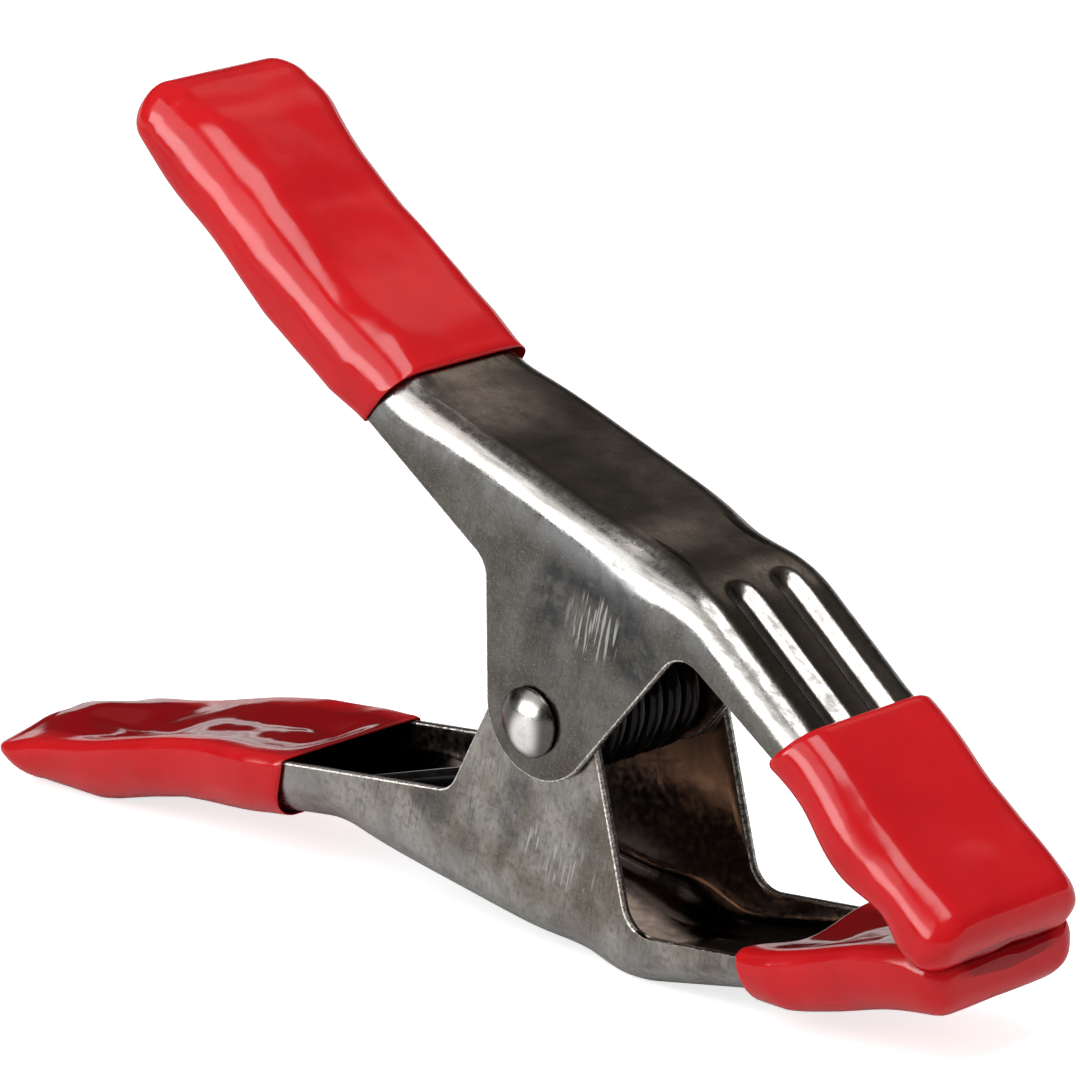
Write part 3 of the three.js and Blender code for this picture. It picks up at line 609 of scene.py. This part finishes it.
def cover_ring(foot, top, half_width, top_radius, foot_radius, sag):
    """A ring of a cover between a foot and a top point of the side view. It starts in the middle
    of the film between the walls."""
    height = float(np.linalg.norm(top - foot))
    up = (top - foot) / height
    low = min(foot_radius, height / 2 - 0.3)
    high = min(top_radius, height - low - 0.4)
    half = []
    for k in range(FILM_POINTS + 1):
        share = FILM_HALF_SHARE * k / FILM_POINTS
        half.append((half_width * share, sag * math.cos(math.pi / 2 * share / 0.9) ** 2))
    for k in range(7):
        a = math.pi / 2 * k / 6
        half.append((half_width - low + low * math.sin(a), low - low * math.cos(a)))
    for k in range(1, 3):
        half.append((half_width, low + (height - high - low) * k / 3))
    for k in range(9):
        a = math.pi / 2 * k / 8
        half.append((half_width - high + high * math.cos(a), height - high + high * math.sin(a)))
    for share in (0.75, 0.5, 0.25):
        half.append(((half_width - high) * share, height))
    loop = half + [(0.0, height)] + [(-y, v) for y, v in reversed(half[1:])]
    return [(foot[0] + up[0] * v, y, foot[1] + up[1] * v) for y, v in loop]


def coat_waves(kind, side, w):
    """The coat's thickness on each face, at the share w of the way to the tip."""
    along = w * COVER_LENGTH[kind] / WAVE_LENGTH[kind]
    return {face: usual + height * math.sin(2 * math.pi * (along + start))
            for face, (usual, height, start) in COAT[kind, side].items()}


def cover_piece(kind, side, place, coat, sag):
    """A dipped cover: from inside its pocket, over the rim and along the skin to the tip. At the
    share w of its length, place(w) gives the steel's foot and top in side view, coat(w) the
    thickness on each face and sag(w) the depth of the film."""
    length = COVER_LENGTH[kind]
    pocket_width = HALF_WIDTH + CLEAR
    pocket_radius = WEB_CORNER_RADIUS + CLEAR

    def grown(w, foot_growth, top_growth):
        foot, top = place(w)
        up = (top - foot) / np.linalg.norm(top - foot)
        return foot - up * foot_growth, top + up * top_growth

    def rounding(side_coat, top_coat):
        return min(TOP_RADIUS[kind], (side_coat + top_coat + CORNER_COVER) / CORNER_GIVE)

    def pocket(w):
        foot, top = grown(w, CLEAR, CLEAR)
        return cover_ring(foot, top, pocket_width, pocket_radius, CLEAR, sag(w))

    def skin(w, thin=0.0):
        thick = {face: size * (1 - thin) for face, size in coat(w).items()}
        foot, top = grown(w, CLEAR + thick["foot"], CLEAR + thick["top"])
        return cover_ring(foot, top, pocket_width + thick["side"], rounding(thick["side"], thick["top"]),
                          FOOT_RADIUS[kind] * (1 - 0.6 * thin), sag(w))

    rings = [pocket(1 + CLEAR / length)]
    rings += [pocket(k / POCKET_STATIONS) for k in range(POCKET_STATIONS, -1, -1)]
    rim = RIM_LENGTH / length
    for k in range(1, RIM_STATIONS):
        a = math.pi / 2 * k / RIM_STATIONS
        rings.append(skin(rim * (1 - math.cos(a)), thin=1 - math.sin(a)))
    skin_start = len(rings)
    stations = COVER_STATIONS[kind]
    rings += [skin(rim + (1 - rim) * k / stations) for k in range(stations + 1)]
    end = coat(1)
    foot_end, top_end = grown(1, CLEAR + end["foot"], CLEAR + end["top"])
    out = sum(place(1)) / 2 - sum(place(0.9)) / 2
    out /= np.linalg.norm(out)
    height = float(np.linalg.norm(top_end - foot_end))
    up = (top_end - foot_end) / height
    build = TIP_BUILD[kind, side]
    for k in range(1, TIP_STATIONS + 1):
        a = math.pi / 2 * k / TIP_STATIONS
        inset = (height - TIP_LEAST) / 2 * (1 - math.cos(a))
        shift = out * build * math.sin(a)
        rings.append(cover_ring(foot_end + up * inset + shift, top_end - up * inset + shift,
                                pocket_width + end["side"] - build * (1 - math.cos(a)),
                                rounding(end["side"], end["top"]), FOOT_RADIUS[kind],
                                sag(1) * (1 - 2 * inset / height)))
    last = np.asarray(rings[-1])
    middle = last.mean(axis=0)
    rings += [[tuple(middle + (p - middle) * share) for p in last] for share in (0.66, 0.33, 0.08)]
    points, faces = loft(rings)
    points = uneven(points, len(rings[0]), skin_start, SEED[kind, side], DENTS[kind, side])
    # The pads are pressed flat where the two jaw tips meet.
    points[:, 2] = np.maximum(points[:, 2], CLEAR / 2)
    piece = make_piece(f"{side}_{kind}_dip", points, arm_points(points, side), faces, sharp=60.0)
    mark_film(piece, len(rings[0]))
    return piece


def uneven(points, count, first, seed, dents):
    """Gives the skin, which starts at the ring first, the swells and dents of a dipped coat."""
    moved = points.copy()
    shift = Vector((seed * 17.3, seed * 5.1, seed * 9.7))
    for ring in range(first, len(points) // count):
        part = slice(ring * count, (ring + 1) * count)
        middle = points[part].mean(axis=0)
        fade = min(1.0, (ring - first) / 10)
        for i in range(part.start, part.stop):
            out = points[i] - middle
            out /= max(np.linalg.norm(out), 1e-6)
            p = Vector(points[i])
            swell = sum(height * noise.noise(p * scale + shift) for height, scale in SKIN_SWELLS)
            k = i - part.start
            if min(k, count - k) <= FILM_POINTS:
                along, across = FILM_SWELL_SCALE
                swell += FILM_SWELL * noise.noise(Vector((p.x * along, p.y * across, seed * 4.7)))
            for centre, size, height, *way in dents:
                far = sum(((points[i][n] - centre[n]) / size[n]) ** 2 for n in range(3))
                if way:
                    moved[i] += np.array(way[0]) * height * math.exp(-far)
                else:
                    swell += height * math.exp(-far)
            moved[i] += out * swell * fade
    return moved


def mark_film(piece, count):
    """Marks the film between the walls, on rings of count points, for a darker, smoother finish."""
    thin = piece.data.attributes.new("thin", "FLOAT", "POINT")
    for i, point in enumerate(thin.data):
        step = min(i % count, count - i % count)
        point.value = 1.0 if step < FILM_POINTS else 0.5 if step == FILM_POINTS else 0.0


def handle_cover(side):
    reach = HANDLE_REACH[side]
    web = web_path(reach)
    edge = handle_edge_path(reach)
    mouth = -(reach - COVER_LENGTH["handle"])
    shift, lean = HANDLE_MOUTH[side]

    def place(w):
        foot_x = mouth + shift + (-reach - mouth - shift) * w
        top_x = foot_x + lean + (HANDLE_END_SETBACK[side] - lean) * w
        return (np.array([foot_x, float(height_at(edge, foot_x))]),
                np.array([top_x, float(height_at(web, top_x))]))

    def coat(w):
        lip = LIP_SHARE + (1 - LIP_SHARE) * smooth_share(w, *LIP_SPAN)
        return {face: size * lip for face, size in coat_waves("handle", side, w).items()}

    def sag(w):
        return (FILM_SAG * smooth_share(w, *FILM_SPAN)
                * (1 - FILM_RISE[side] * smooth_share(w, *FILM_RISE_SPAN)))

    return cover_piece("handle", side, place, coat, sag)


def jaw_cover(side):
    web = web_path(HANDLE_REACH[side])
    mouth = JAW_REACH - COVER_LENGTH["jaw"]

    def place(w):
        foot_x = mouth + (JAW_REACH - mouth) * w
        top_x = foot_x + JAW_MOUTH_SETBACK + (JAW_END_SETBACK - JAW_MOUTH_SETBACK) * w
        return (np.array([foot_x, jaw_edge_line(foot_x)]),
                np.array([top_x, float(height_at(web, top_x))]))

    def on_pad(w):
        start, end = JAW_PAD_EASE
        return min(max((place(w)[0][0] - start) / (end - start), 0.0), 1.0) ** 2

    def coat(w):
        thick = coat_waves("jaw", side, w)
        to_plane = place(w)[0][1] - CLEAR - CLEAR / 2 + JAW_PAD_PRESSED
        thick["foot"] += (to_plane - thick["foot"]) * on_pad(w)
        return thick

    return cover_piece("jaw", side, place, coat, lambda w: FILM_SAG * (1 - on_pad(w)))


# ---------------------------------------------------------------- rivet and spring

def rivet_piece():
    seat = HALF_WIDTH + ARM_OFFSET + CLEAR

    def dome(radius, height, sense):
        """Half profile from the crown to the rim: a cap of a sphere with a small rounded rim."""
        line = []
        cap = height - DOME_RIM
        ball = (radius ** 2 + cap ** 2) / (2 * cap)
        widest = math.asin(radius / ball)
        for k in range(19):
            a = widest * k / 18
            line.append((ball * math.sin(a), sense * (seat + DOME_RIM + cap - ball * (1 - math.cos(a)))))
        line.append((radius * 0.995, sense * (seat + 0.12)))
        line.append((radius * 0.975, sense * seat))
        return line

    profile = dome(HEAD_RADIUS, HEAD_HEIGHT, -1)
    profile += [(RIVET_RADIUS, -seat), (RIVET_RADIUS, seat)]
    profile += dome(CLENCH_RADIUS, CLENCH_HEIGHT, 1)[::-1]
    points, faces = loft([circle(max(radius, 0.02), y, RIVET_SIDES) for radius, y in profile])
    return make_piece("pivot_rivet_fine", points, points, faces, sharp=50.0)


def leg_angle():
    """The angle between a leg and the mirror plane, with the leg's end against the handle's web."""
    slope = math.radians(HANDLE_SLOPE)
    bend = web_line(-HANDLE_BEND_REACH)
    inner = math.cos(slope) * bend - math.sin(slope) * HANDLE_BEND_REACH - SHEET
    room = inner - WIRE_RADIUS - CLEAR
    return slope + math.asin(room / math.hypot(COIL_RADIUS, LEG_LENGTH)) - math.atan2(COIL_RADIUS, LEG_LENGTH)


def spring_line():
    """The wire's middle: down the upper leg, round the coil to the near side, and along the lower leg."""
    angle = leg_angle()
    first = math.pi / 2 - angle
    sweep = 2 * first + 2 * math.pi * COIL_TURNS
    rise = COIL_PITCH * sweep / (2 * math.pi)

    def leg(side, share):
        return (COIL_RADIUS * math.cos(first) - share * LEG_LENGTH * math.cos(angle),
                side * (rise / 2 - share * LEG_SET_IN),
                side * (COIL_RADIUS * math.sin(first) + share * LEG_LENGTH * math.sin(angle)))

    shares = [1.0, 0.985, 0.95] + [0.9 - 0.1 * k for k in range(8)] + [0.16, 0.12, 0.08, 0.04]
    line = [leg(1, share) for share in shares]
    steps = round(COIL_STEPS * sweep / (2 * math.pi))
    for k in range(steps + 1):
        at = first - sweep * k / steps
        line.append((COIL_RADIUS * math.cos(at), rise / 2 - rise * k / steps, COIL_RADIUS * math.sin(at)))
    line += [leg(-1, share) for share in reversed(shares)]
    return np.array(line)


def spring_piece():
    line = spring_line()
    turns = [2 * math.pi * k / WIRE_SIDES for k in range(WIRE_SIDES)]
    rings = []
    count = len(line)
    for i, point in enumerate(line):
        along = line[min(count - 1, i + 1)] - line[max(0, i - 1)]
        along /= np.linalg.norm(along)
        sideways = np.array([0.0, 1.0, 0.0]) - along * along[1]
        sideways /= np.linalg.norm(sideways)
        out = np.cross(along, sideways)
        rings.append([tuple(point + WIRE_RADIUS * (out * math.cos(a) + sideways * math.sin(a)))
                      for a in turns])
    points, faces = loft(rings)
    return make_piece("torsion_spring_fine", points, points, faces, sharp=50.0)


# ---------------------------------------------------------------- materials

class Nodes:
    """A small helper that adds nodes to one tree and links them."""

    def __init__(self, tree):
        self.tree = tree

    def node(self, kind, inputs=(), **settings):
        made = self.tree.nodes.new(kind)
        for key, value in settings.items():
            setattr(made, key, value)
        for key, value in dict(inputs).items():
            if isinstance(value, bpy.types.NodeSocket):
                self.tree.links.new(value, made.inputs[key])
            else:
                made.inputs[key].default_value = value
        return made

    def range(self, value, low, high, to_low=0.0, to_high=1.0):
        made = self.node("ShaderNodeMapRange", {"Value": value, "From Min": low, "From Max": high,
                                                "To Min": to_low, "To Max": to_high},
                         interpolation_type="SMOOTHSTEP")
        return made.outputs["Result"]

    def math(self, operation, a, b=0.0):
        return self.node("ShaderNodeMath", {0: a, 1: b}, operation=operation).outputs[0]

    def plus(self, a, b):
        return self.math("ADD", a, b)

    def times(self, a, b):
        return self.math("MULTIPLY", a, b)

    def rest(self, share):
        return self.math("SUBTRACT", 1.0, share)

    def vector_math(self, operation, a, b=(0.0, 0.0, 0.0)):
        return self.node("ShaderNodeVectorMath", {0: a, 1: b}, operation=operation).outputs

    def split(self, vector, axis):
        return self.node("ShaderNodeSeparateXYZ", {"Vector": vector}).outputs[axis]

    def mix(self, factor, a, b):
        return self.node("ShaderNodeMix", {0: factor, 6: a, 7: b}, data_type="RGBA").outputs[2]

    def rays(self):
        """Whether a ray comes from the camera, and whether it shows a reflection."""
        path = self.node("ShaderNodeLightPath").outputs
        mirrored = self.math("MAXIMUM", path["Is Glossy Ray"], path["Is Transmission Ray"])
        return path["Is Camera Ray"], mirrored


class Paint(Nodes):
    """The nodes of one material on a Principled shader, placed by the pieces' own coordinates."""

    def __init__(self, name):
        self.material = bpy.data.materials.new(name)
        self.material.use_nodes = True
        super().__init__(self.material.node_tree)
        self.shader = self.tree.nodes["Principled BSDF"]
        self.place = self.node("ShaderNodeAttribute", attribute_name="place").outputs["Vector"]

    def set(self, socket, value):
        if isinstance(value, bpy.types.NodeSocket):
            self.tree.links.new(value, self.shader.inputs[socket])
        else:
            self.shader.inputs[socket].default_value = value

    def finish(self, colour, roughness, normal, metallic=1.0):
        self.set("Base Color", colour)
        self.set("Metallic", metallic)
        self.set("Roughness", roughness)
        self.set("Normal", normal)
        return self.material

    def scaled(self, scale, turn=(0, 0, 0), shift=(0, 0, 0)):
        """The place, stretched, turned and shifted."""
        mapping = self.node("ShaderNodeMapping", {"Vector": self.place, "Scale": scale, "Rotation": turn,
                                                  "Location": shift})
        return mapping.outputs["Vector"]

    def noise(self, scale, detail=4.0, rough=0.55, vector=None):
        made = self.node("ShaderNodeTexNoise", {"Vector": vector or self.place, "Scale": scale,
                                                "Detail": detail, "Roughness": rough})
        return made.outputs["Fac"]

    def dots(self, scale, radius, soft, where, vector=None):
        """Small round dots that fade out from soft to radius, where the mask where lets them."""
        cells = self.node("ShaderNodeTexVoronoi", {"Vector": vector or self.place, "Scale": scale,
                                                   "Randomness": 1.0})
        return self.times(self.range(cells.outputs["Distance"], radius, soft), where)

    def spots(self, *places):
        """The sum of ellipsoids, each 1 at its centre and 0 from its size on."""
        total = None
        for centre, size in places:
            away = self.vector_math("SUBTRACT", self.place, centre)[0]
            away = self.vector_math("MULTIPLY", away, tuple(1 / s for s in size))[0]
            near = self.range(self.vector_math("LENGTH", away)["Value"], 1.0, 0.0)
            total = near if total is None else self.plus(total, near)
        return total

    def tint(self, tone, mask, amount, colour):
        return self.mix(self.times(mask, amount), tone, colour)

    def facing_y(self):
        """1 where the surface faces straight along Y, as the walls do."""
        return self.math("ABSOLUTE", self.split(self.node("ShaderNodeNewGeometry").outputs["Normal"], "Y"))

    def bump(self, height, distance, normal=None):
        inputs = {"Height": height, "Distance": distance, "Strength": 1.0}
        if normal is not None:
            inputs["Normal"] = normal
        return self.node("ShaderNodeBump", inputs).outputs["Normal"]


def grey(value, warm=0.0):
    return (value * (1 + warm), value, value * (1 - warm * 1.4), 1.0)


def plated_steel():
    p = Paint("plated_steel")
    cloud = p.noise(0.11, 5.0, 0.62)
    patchy = p.noise(0.3, 4.0, 0.6, p.scaled((1.0, 1.0, 0.45)))
    mottle = p.noise(1.1, 5.0, 0.65)
    fine = p.noise(5.0, 3.0, 0.6)
    brushed = p.noise(1.0, 3.0, 0.6, p.scaled((2.4, 2.4, 0.16)))
    ragged = p.range(p.noise(0.45, 5.0, 0.65), 0.34, 0.62, 0.25, 1.0)
    cloud_spot = p.times(p.range(p.spots(*CLOUD_SPOTS), 0.05, 0.75), ragged)
    smudge = p.times(p.range(p.spots(*SMUDGE_SPOTS), 0.1, 0.7), ragged)
    # Painted shade: the own -Y half of each arm, including the upper arm's near wall, is made darker.
    shaded_side = p.range(p.split(p.place, "Y"), 2.0, -2.0)
    tone = p.mix(p.range(cloud, 0.36, 0.62), grey(0.20, 0.15), grey(0.42, 0.06))
    tone = p.tint(tone, shaded_side, 0.62, grey(0.05, 0.12))
    tone = p.tint(tone, p.range(patchy, 0.42, 0.64), 0.35, (0.09, 0.091, 0.09, 1.0))
    tone = p.tint(tone, p.range(mottle, 0.46, 0.66), 0.45, grey(0.09, 0.1))
    tone = p.tint(tone, p.range(fine, 0.54, 0.68), 0.55, grey(0.36, 0.04))
    tone = p.tint(tone, p.range(brushed, 0.52, 0.7), 0.45, grey(0.075, 0.02))
    tone = p.tint(tone, cloud_spot, 0.8, (0.036, 0.04, 0.045, 1.0))
    tone = p.tint(tone, smudge, 0.55, (0.05, 0.056, 0.064, 1.0))
    # The webs are painted darker as shade, and lighten beside their bends in a painted pale reflection.
    wall = p.facing_y()
    tone = p.tint(tone, p.range(wall, 0.35, 0.1), 0.55, (0.05, 0.046, 0.043, 1.0))
    bend_reflection = p.plus(p.spots(BEND_REFLECTION_REAR), p.times(p.spots(BEND_REFLECTION_FRONT), 0.5))
    tone = p.tint(tone, bend_reflection, p.range(patchy, 0.3, 0.6, 0.6, 1.0), (0.78, 0.7, 0.64, 1.0))
    # Small dark pits, and a few bright specks.
    pit = p.dots(0.9, 0.1, 0.03, p.range(p.noise(0.35, 2.0), 0.5, 0.6))
    tone = p.tint(tone, pit, 0.75, grey(0.03, 0.05))
    speck = p.dots(0.75, 0.07, 0.03, p.range(p.noise(0.5, 2.0), 0.5, 0.6),
                   p.scaled((1, 1, 1), (0.4, 0.9, 0.2)))
    tone = p.tint(tone, speck, 0.8, grey(0.8, 0.02))
    # Short scratches that run down the walls, in patches.
    streaks = p.noise(1.9, 1.5, 0.5, p.scaled((1.0, 0.2, 0.085), (0, math.radians(14), 0)))
    scratch = p.times(p.range(streaks, 0.56, 0.62), p.range(p.spots(*SCRATCH_SPOTS), 0.05, 0.45))
    tone = p.tint(tone, scratch, 0.75, grey(0.6, 0.02))
    # The roundings between web and walls are painted brighter: edge wear, and a painted highlight that widens
    # the band reflected there.
    rounding_wear_and_highlight = p.times(p.range(wall, 0.12, 0.4), p.range(wall, 0.985, 0.86))
    lines = p.noise(1.3, 3.0, 0.6, p.scaled((0.07, 1.0, 1.0)))
    wear_and_highlight_amount = p.times(p.range(lines, 0.36, 0.6, 0.35, 1.0), p.range(patchy, 0.36, 0.62, 1.0, 0.8))
    tone = p.tint(tone, rounding_wear_and_highlight, wear_and_highlight_amount, grey(0.34, 0.02))
    # The wall just below the rounding gets a painted sheen, brighter, that fades.
    web_level = p.plus(p.times(p.split(p.place, "X"), -0.08), WEB_HEIGHT)
    sheen_below_web = p.math("SUBTRACT", web_level, p.split(p.place, "Z"))
    on_wall = p.times(p.range(wall, 0.9, 1.0), p.range(patchy, 0.35, 0.6, 0.3, 0.9))
    tone = p.tint(tone, p.times(p.range(sheen_below_web, 8.5, 3.0), on_wall), 0.55, grey(0.5, -0.02))
    rough = p.plus(p.range(mottle, 0.3, 0.75, 0.15, 0.28), p.times(cloud_spot, 0.12))
    rough = p.plus(rough, p.times(rounding_wear_and_highlight, p.range(lines, 0.35, 0.6, 0.14, 0.02)))
    bumps = p.bump(p.noise(0.09, 2.0), 0.0003)
    bumps = p.bump(mottle, 0.000018, bumps)
    bumps = p.bump(fine, 0.000009, bumps)
    bumps = p.bump(p.rest(pit), 0.00005, bumps)
    return p.finish(tone, rough, p.bump(scratch, 0.00003, bumps))


def sheared_steel():
    """The cut edge of the sheet: torn, with a painted shadow line along its core, and bright along its outer
    border, partly burnish and partly a painted highlight.
    """
    p = Paint("sheared_steel")
    grain = p.noise(3.2, 5.0, 0.7)
    torn = p.noise(2.2, 3.0, 0.6, p.scaled((1.0, 0.3, 1.0)))
    tone = p.mix(p.range(grain, 0.4, 0.6), grey(0.2, 0.06), grey(0.95, 0.04))
    tone = p.tint(tone, p.range(torn, 0.5, 0.58), 0.8, grey(0.05, 0.05))
    across = p.math("ABSOLUTE", p.split(p.place, "Y"))
    # A dark line is painted along the core of the edge as shadow.
    painted_shadow_line = p.times(p.range(across, 12.0, 11.85), p.range(across, 11.3, 11.45))
    tone = p.tint(tone, painted_shadow_line, 0.85, grey(0.02, 0.1))
    # The bright outer border: the shear's burnish and a painted highlight, a little stronger on the own +Y
    # side.
    side = p.range(p.split(p.place, "Y"), -2.0, 2.0, 0.25, 0.3)
    tone = p.tint(tone, p.range(across, 11.85, 12.0), side, (0.98, 0.95, 0.88, 1.0))
    bumps = p.bump(grain, 0.0001, p.bump(torn, 0.00008))
    return p.finish(tone, p.range(grain, 0.3, 0.7, 0.26, 0.5), bumps)


def shaded_inner_steel():
    """The inside of the channel, painted darker than the outside as shade."""
    p = Paint("inner_steel")
    cloud = p.noise(0.16, 4.0, 0.6)
    mottle = p.noise(1.0, 4.0, 0.6)
    streaks = p.noise(1.0, 2.0, 0.5, p.scaled((0.12, 1.5, 1.5)))
    tone = p.mix(p.range(cloud, 0.35, 0.65), (0.09, 0.075, 0.062, 1.0), (0.2, 0.168, 0.14, 1.0))
    tone = p.tint(tone, p.range(mottle, 0.48, 0.66), 0.5, (0.05, 0.041, 0.034, 1.0))
    tone = p.tint(tone, p.range(streaks, 0.56, 0.68), 0.5, (0.32, 0.28, 0.24, 1.0))
    # The inner web is painted near black as shade; the inner walls get a paler, warmer tone.
    on_wall = p.range(p.facing_y(), 0.94, 0.99)
    tone = p.mix(p.rest(on_wall), tone, (0.012, 0.009, 0.008, 1.0))
    tone = p.tint(tone, on_wall, 0.7, (0.75, 0.6, 0.5, 1.0))
    bumps = p.bump(mottle, 0.00002, p.bump(p.noise(0.1, 2.0), 0.0003))
    return p.finish(tone, p.range(mottle, 0.3, 0.7, 0.12, 0.24), bumps)


def rivet_steel():
    """Dark, as tarnish and as painted shade on the flanks, with crowns painted bright as a highlight that
    also stands for rubbing.
    """
    p = Paint("rivet_steel")
    mottle = p.noise(0.8, 5.0, 0.6)
    pit = p.dots(1.5, 0.13, 0.04, p.range(p.noise(0.7, 2.0), 0.48, 0.6))
    # A painted highlight on the crowns, and dark painted shade elsewhere.
    tone = p.mix(p.range(p.spots(*CROWN_HIGHLIGHT_SPOTS), 0.05, 0.75), grey(0.12, 0.05), grey(0.97, 0.02))
    tone = p.tint(tone, p.range(mottle, 0.48, 0.7), 0.2, grey(0.2, 0.06))
    tone = p.tint(tone, pit, 0.75, grey(0.1, 0.08))
    bumps = p.bump(p.rest(pit), 0.00005, p.bump(p.noise(0.35, 2.0), 0.00006))
    return p.finish(tone, p.range(mottle, 0.3, 0.75, 0.2, 0.32), bumps)


def spring_wire():
    p = Paint("spring_wire")
    blotch = p.noise(0.45, 4.0, 0.6)
    tone = p.mix(p.range(blotch, 0.35, 0.7), grey(0.003), grey(0.007, 0.05))
    p.set("Specular IOR Level", 0.16)
    return p.finish(tone, p.range(blotch, 0.3, 0.75, 0.1, 0.2), p.bump(p.noise(1.4, 3.0), 0.000006), 0.0)


def red_vinyl():
    """The dipped coat, darker and smoother where it is a film."""
    p = Paint("red_vinyl")
    cloud = p.noise(0.07, 4.0, 0.6)
    grain = p.noise(1.6, 4.0, 0.6)
    speck = p.noise(2.4, 2.0, 0.5)
    film = p.node("ShaderNodeAttribute", attribute_name="thin").outputs["Fac"]
    tone = p.mix(p.range(cloud, 0.3, 0.7), (0.53, 0.007, 0.011, 1.0), (0.61, 0.010, 0.014, 1.0))
    tone = p.tint(tone, p.range(grain, 0.4, 0.7), 0.18, (0.44, 0.007, 0.010, 1.0))
    tone = p.tint(tone, p.range(speck, 0.72, 0.78), 0.5, (0.20, 0.004, 0.006, 1.0))
    tone = p.tint(tone, film, 0.8, (0.22, 0.001, 0.004, 1.0))
    rough = p.range(p.noise(0.4, 3.0), 0.3, 0.7, 0.12, 0.2)
    rough = p.times(rough, p.rest(p.times(film, 0.6)))
    p.set("Specular IOR Level", 0.3)
    p.set("Subsurface Weight", 0.08)
    p.set("Subsurface Radius", (1.0, 0.12, 0.08))
    p.set("Subsurface Scale", 0.0008)
    bumps = p.bump(p.noise(0.1, 1.0), 0.0003)
    bumps = p.bump(p.noise(0.35, 2.0), 0.00003, bumps)
    return p.finish(tone, rough, p.bump(grain, 0.000006, bumps), 0.0)


# ---------------------------------------------------------------- stage, light and camera

def floor_material():
    """White to the camera but for the shadow, and darker in reflections."""
    material = bpy.data.materials.new("pale_floor")
    material.use_nodes = True
    n = Nodes(material.node_tree)
    n.tree.nodes.clear()
    camera, mirrored = n.rays()
    diffuse = n.node("ShaderNodeBsdfDiffuse", {"Color": n.mix(mirrored, FLOOR_GREY, FLOOR_MIRRORED)})
    seen = n.plus(camera, n.times(mirrored, FLOOR_LIFT_MIRRORED))
    glow = n.node("ShaderNodeEmission", {"Strength": n.times(seen, FLOOR_LIFT)})
    both = n.node("ShaderNodeAddShader", {0: diffuse.outputs[0], 1: glow.outputs[0]})
    n.node("ShaderNodeOutputMaterial", {"Surface": both.outputs[0]})
    return material


def make_floor():
    size = FLOOR_SIZE
    mesh = bpy.data.meshes.new("floor")
    mesh.from_pydata([(-size, -size, 0), (size, -size, 0), (size, size, 0), (-size, size, 0)], [],
                     [(0, 1, 2, 3)])
    floor = add_object("floor", mesh)
    mesh.materials.append(floor_material())


def make_world():
    """White to the camera, the room in reflections, and an even light for the rest."""
    world = bpy.data.worlds.new("studio")
    bpy.context.scene.world = world
    world.use_nodes = True
    n = Nodes(world.node_tree)
    n.tree.nodes.clear()

    def background(colour, strength):
        return n.node("ShaderNodeBackground", {"Color": colour, "Strength": strength}).outputs[0]

    way = n.node("ShaderNodeTexCoord").outputs["Generated"]
    height = n.split(way, "Z")
    room = n.mix(n.range(height, *CEILING), ROOM_DARK, CEILING_TONE)
    room = n.mix(n.range(height, *HORIZON), WHITE, room)
    # The bends of the webs pick up the glow.
    aim = n.vector_math("DOT_PRODUCT", way, Vector(GLOW_DIRECTION).normalized())["Value"]
    glow = n.range(aim, *(math.cos(math.radians(a)) for a in GLOW_SPREAD))
    room = n.mix(glow, room, GLOW_TONE)
    camera, mirrored = n.rays()
    unseen = n.node("ShaderNodeMixShader", {0: mirrored, 1: background(WHITE, ROOM_LIGHT),
                                            2: background(room, 1.0)})
    surface = n.node("ShaderNodeMixShader", {0: camera, 1: unseen.outputs[0],
                                             2: background(WHITE, 1.0)})
    n.node("ShaderNodeOutputWorld", {"Surface": surface.outputs[0]})


def area_light(name, direction, distance, size, power, diffuse, glossy):
    data = bpy.data.lights.new(name, "AREA")
    data.shape = "RECTANGLE"
    data.size, data.size_y = size
    data.energy = power
    lamp = add_object(name, data)
    away = Vector(direction).normalized()
    lamp.location = Vector(LAMP_TARGET) + away * distance
    lamp.rotation_euler = away.to_track_quat("Z", "Y").to_euler()
    lamp.visible_diffuse = diffuse
    lamp.visible_glossy = glossy


def make_camera():
    data = bpy.data.cameras.new("camera")
    data.sensor_width = 36.0
    data.lens = CAMERA_LENS
    data.clip_start = 0.05
    data.clip_end = 20.0
    camera = add_object("camera", data)
    matrix = Matrix(CAMERA_AXES).transposed().to_4x4()
    matrix.translation = CAMERA_PLACE
    camera.matrix_world = matrix
    bpy.context.scene.camera = camera


# ---------------------------------------------------------------- build

make_camera()
make_floor()
make_world()
for lamp in LAMPS:
    area_light(*lamp)

steel = plated_steel()
edge_steel = sheared_steel()
inner_steel = shaded_inner_steel()
vinyl = red_vinyl()
bodies = {"upper": "upper_half", "lower": "lower_half"}
for side, body in bodies.items():
    arm = arm_piece(side, (steel, edge_steel, inner_steel))
    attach(arm, body)
    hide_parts(f"{side}_arm")
    grip = handle_cover(side)
    grip.data.materials.append(vinyl)
    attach(grip, body)
    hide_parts(f"{side}_handle_grip")
    tip = jaw_cover(side)
    tip.data.materials.append(vinyl)
    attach(tip, body)
    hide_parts(f"{side}_jaw_tip")

rivet = rivet_piece()
rivet.data.materials.append(rivet_steel())
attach(rivet, "lower_half")
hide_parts("pivot_rivet")

spring = spring_piece()
spring.data.materials.append(spring_wire())
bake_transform(spring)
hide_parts("torsion_spring")

bpy.context.scene.view_settings.view_transform = "Standard"
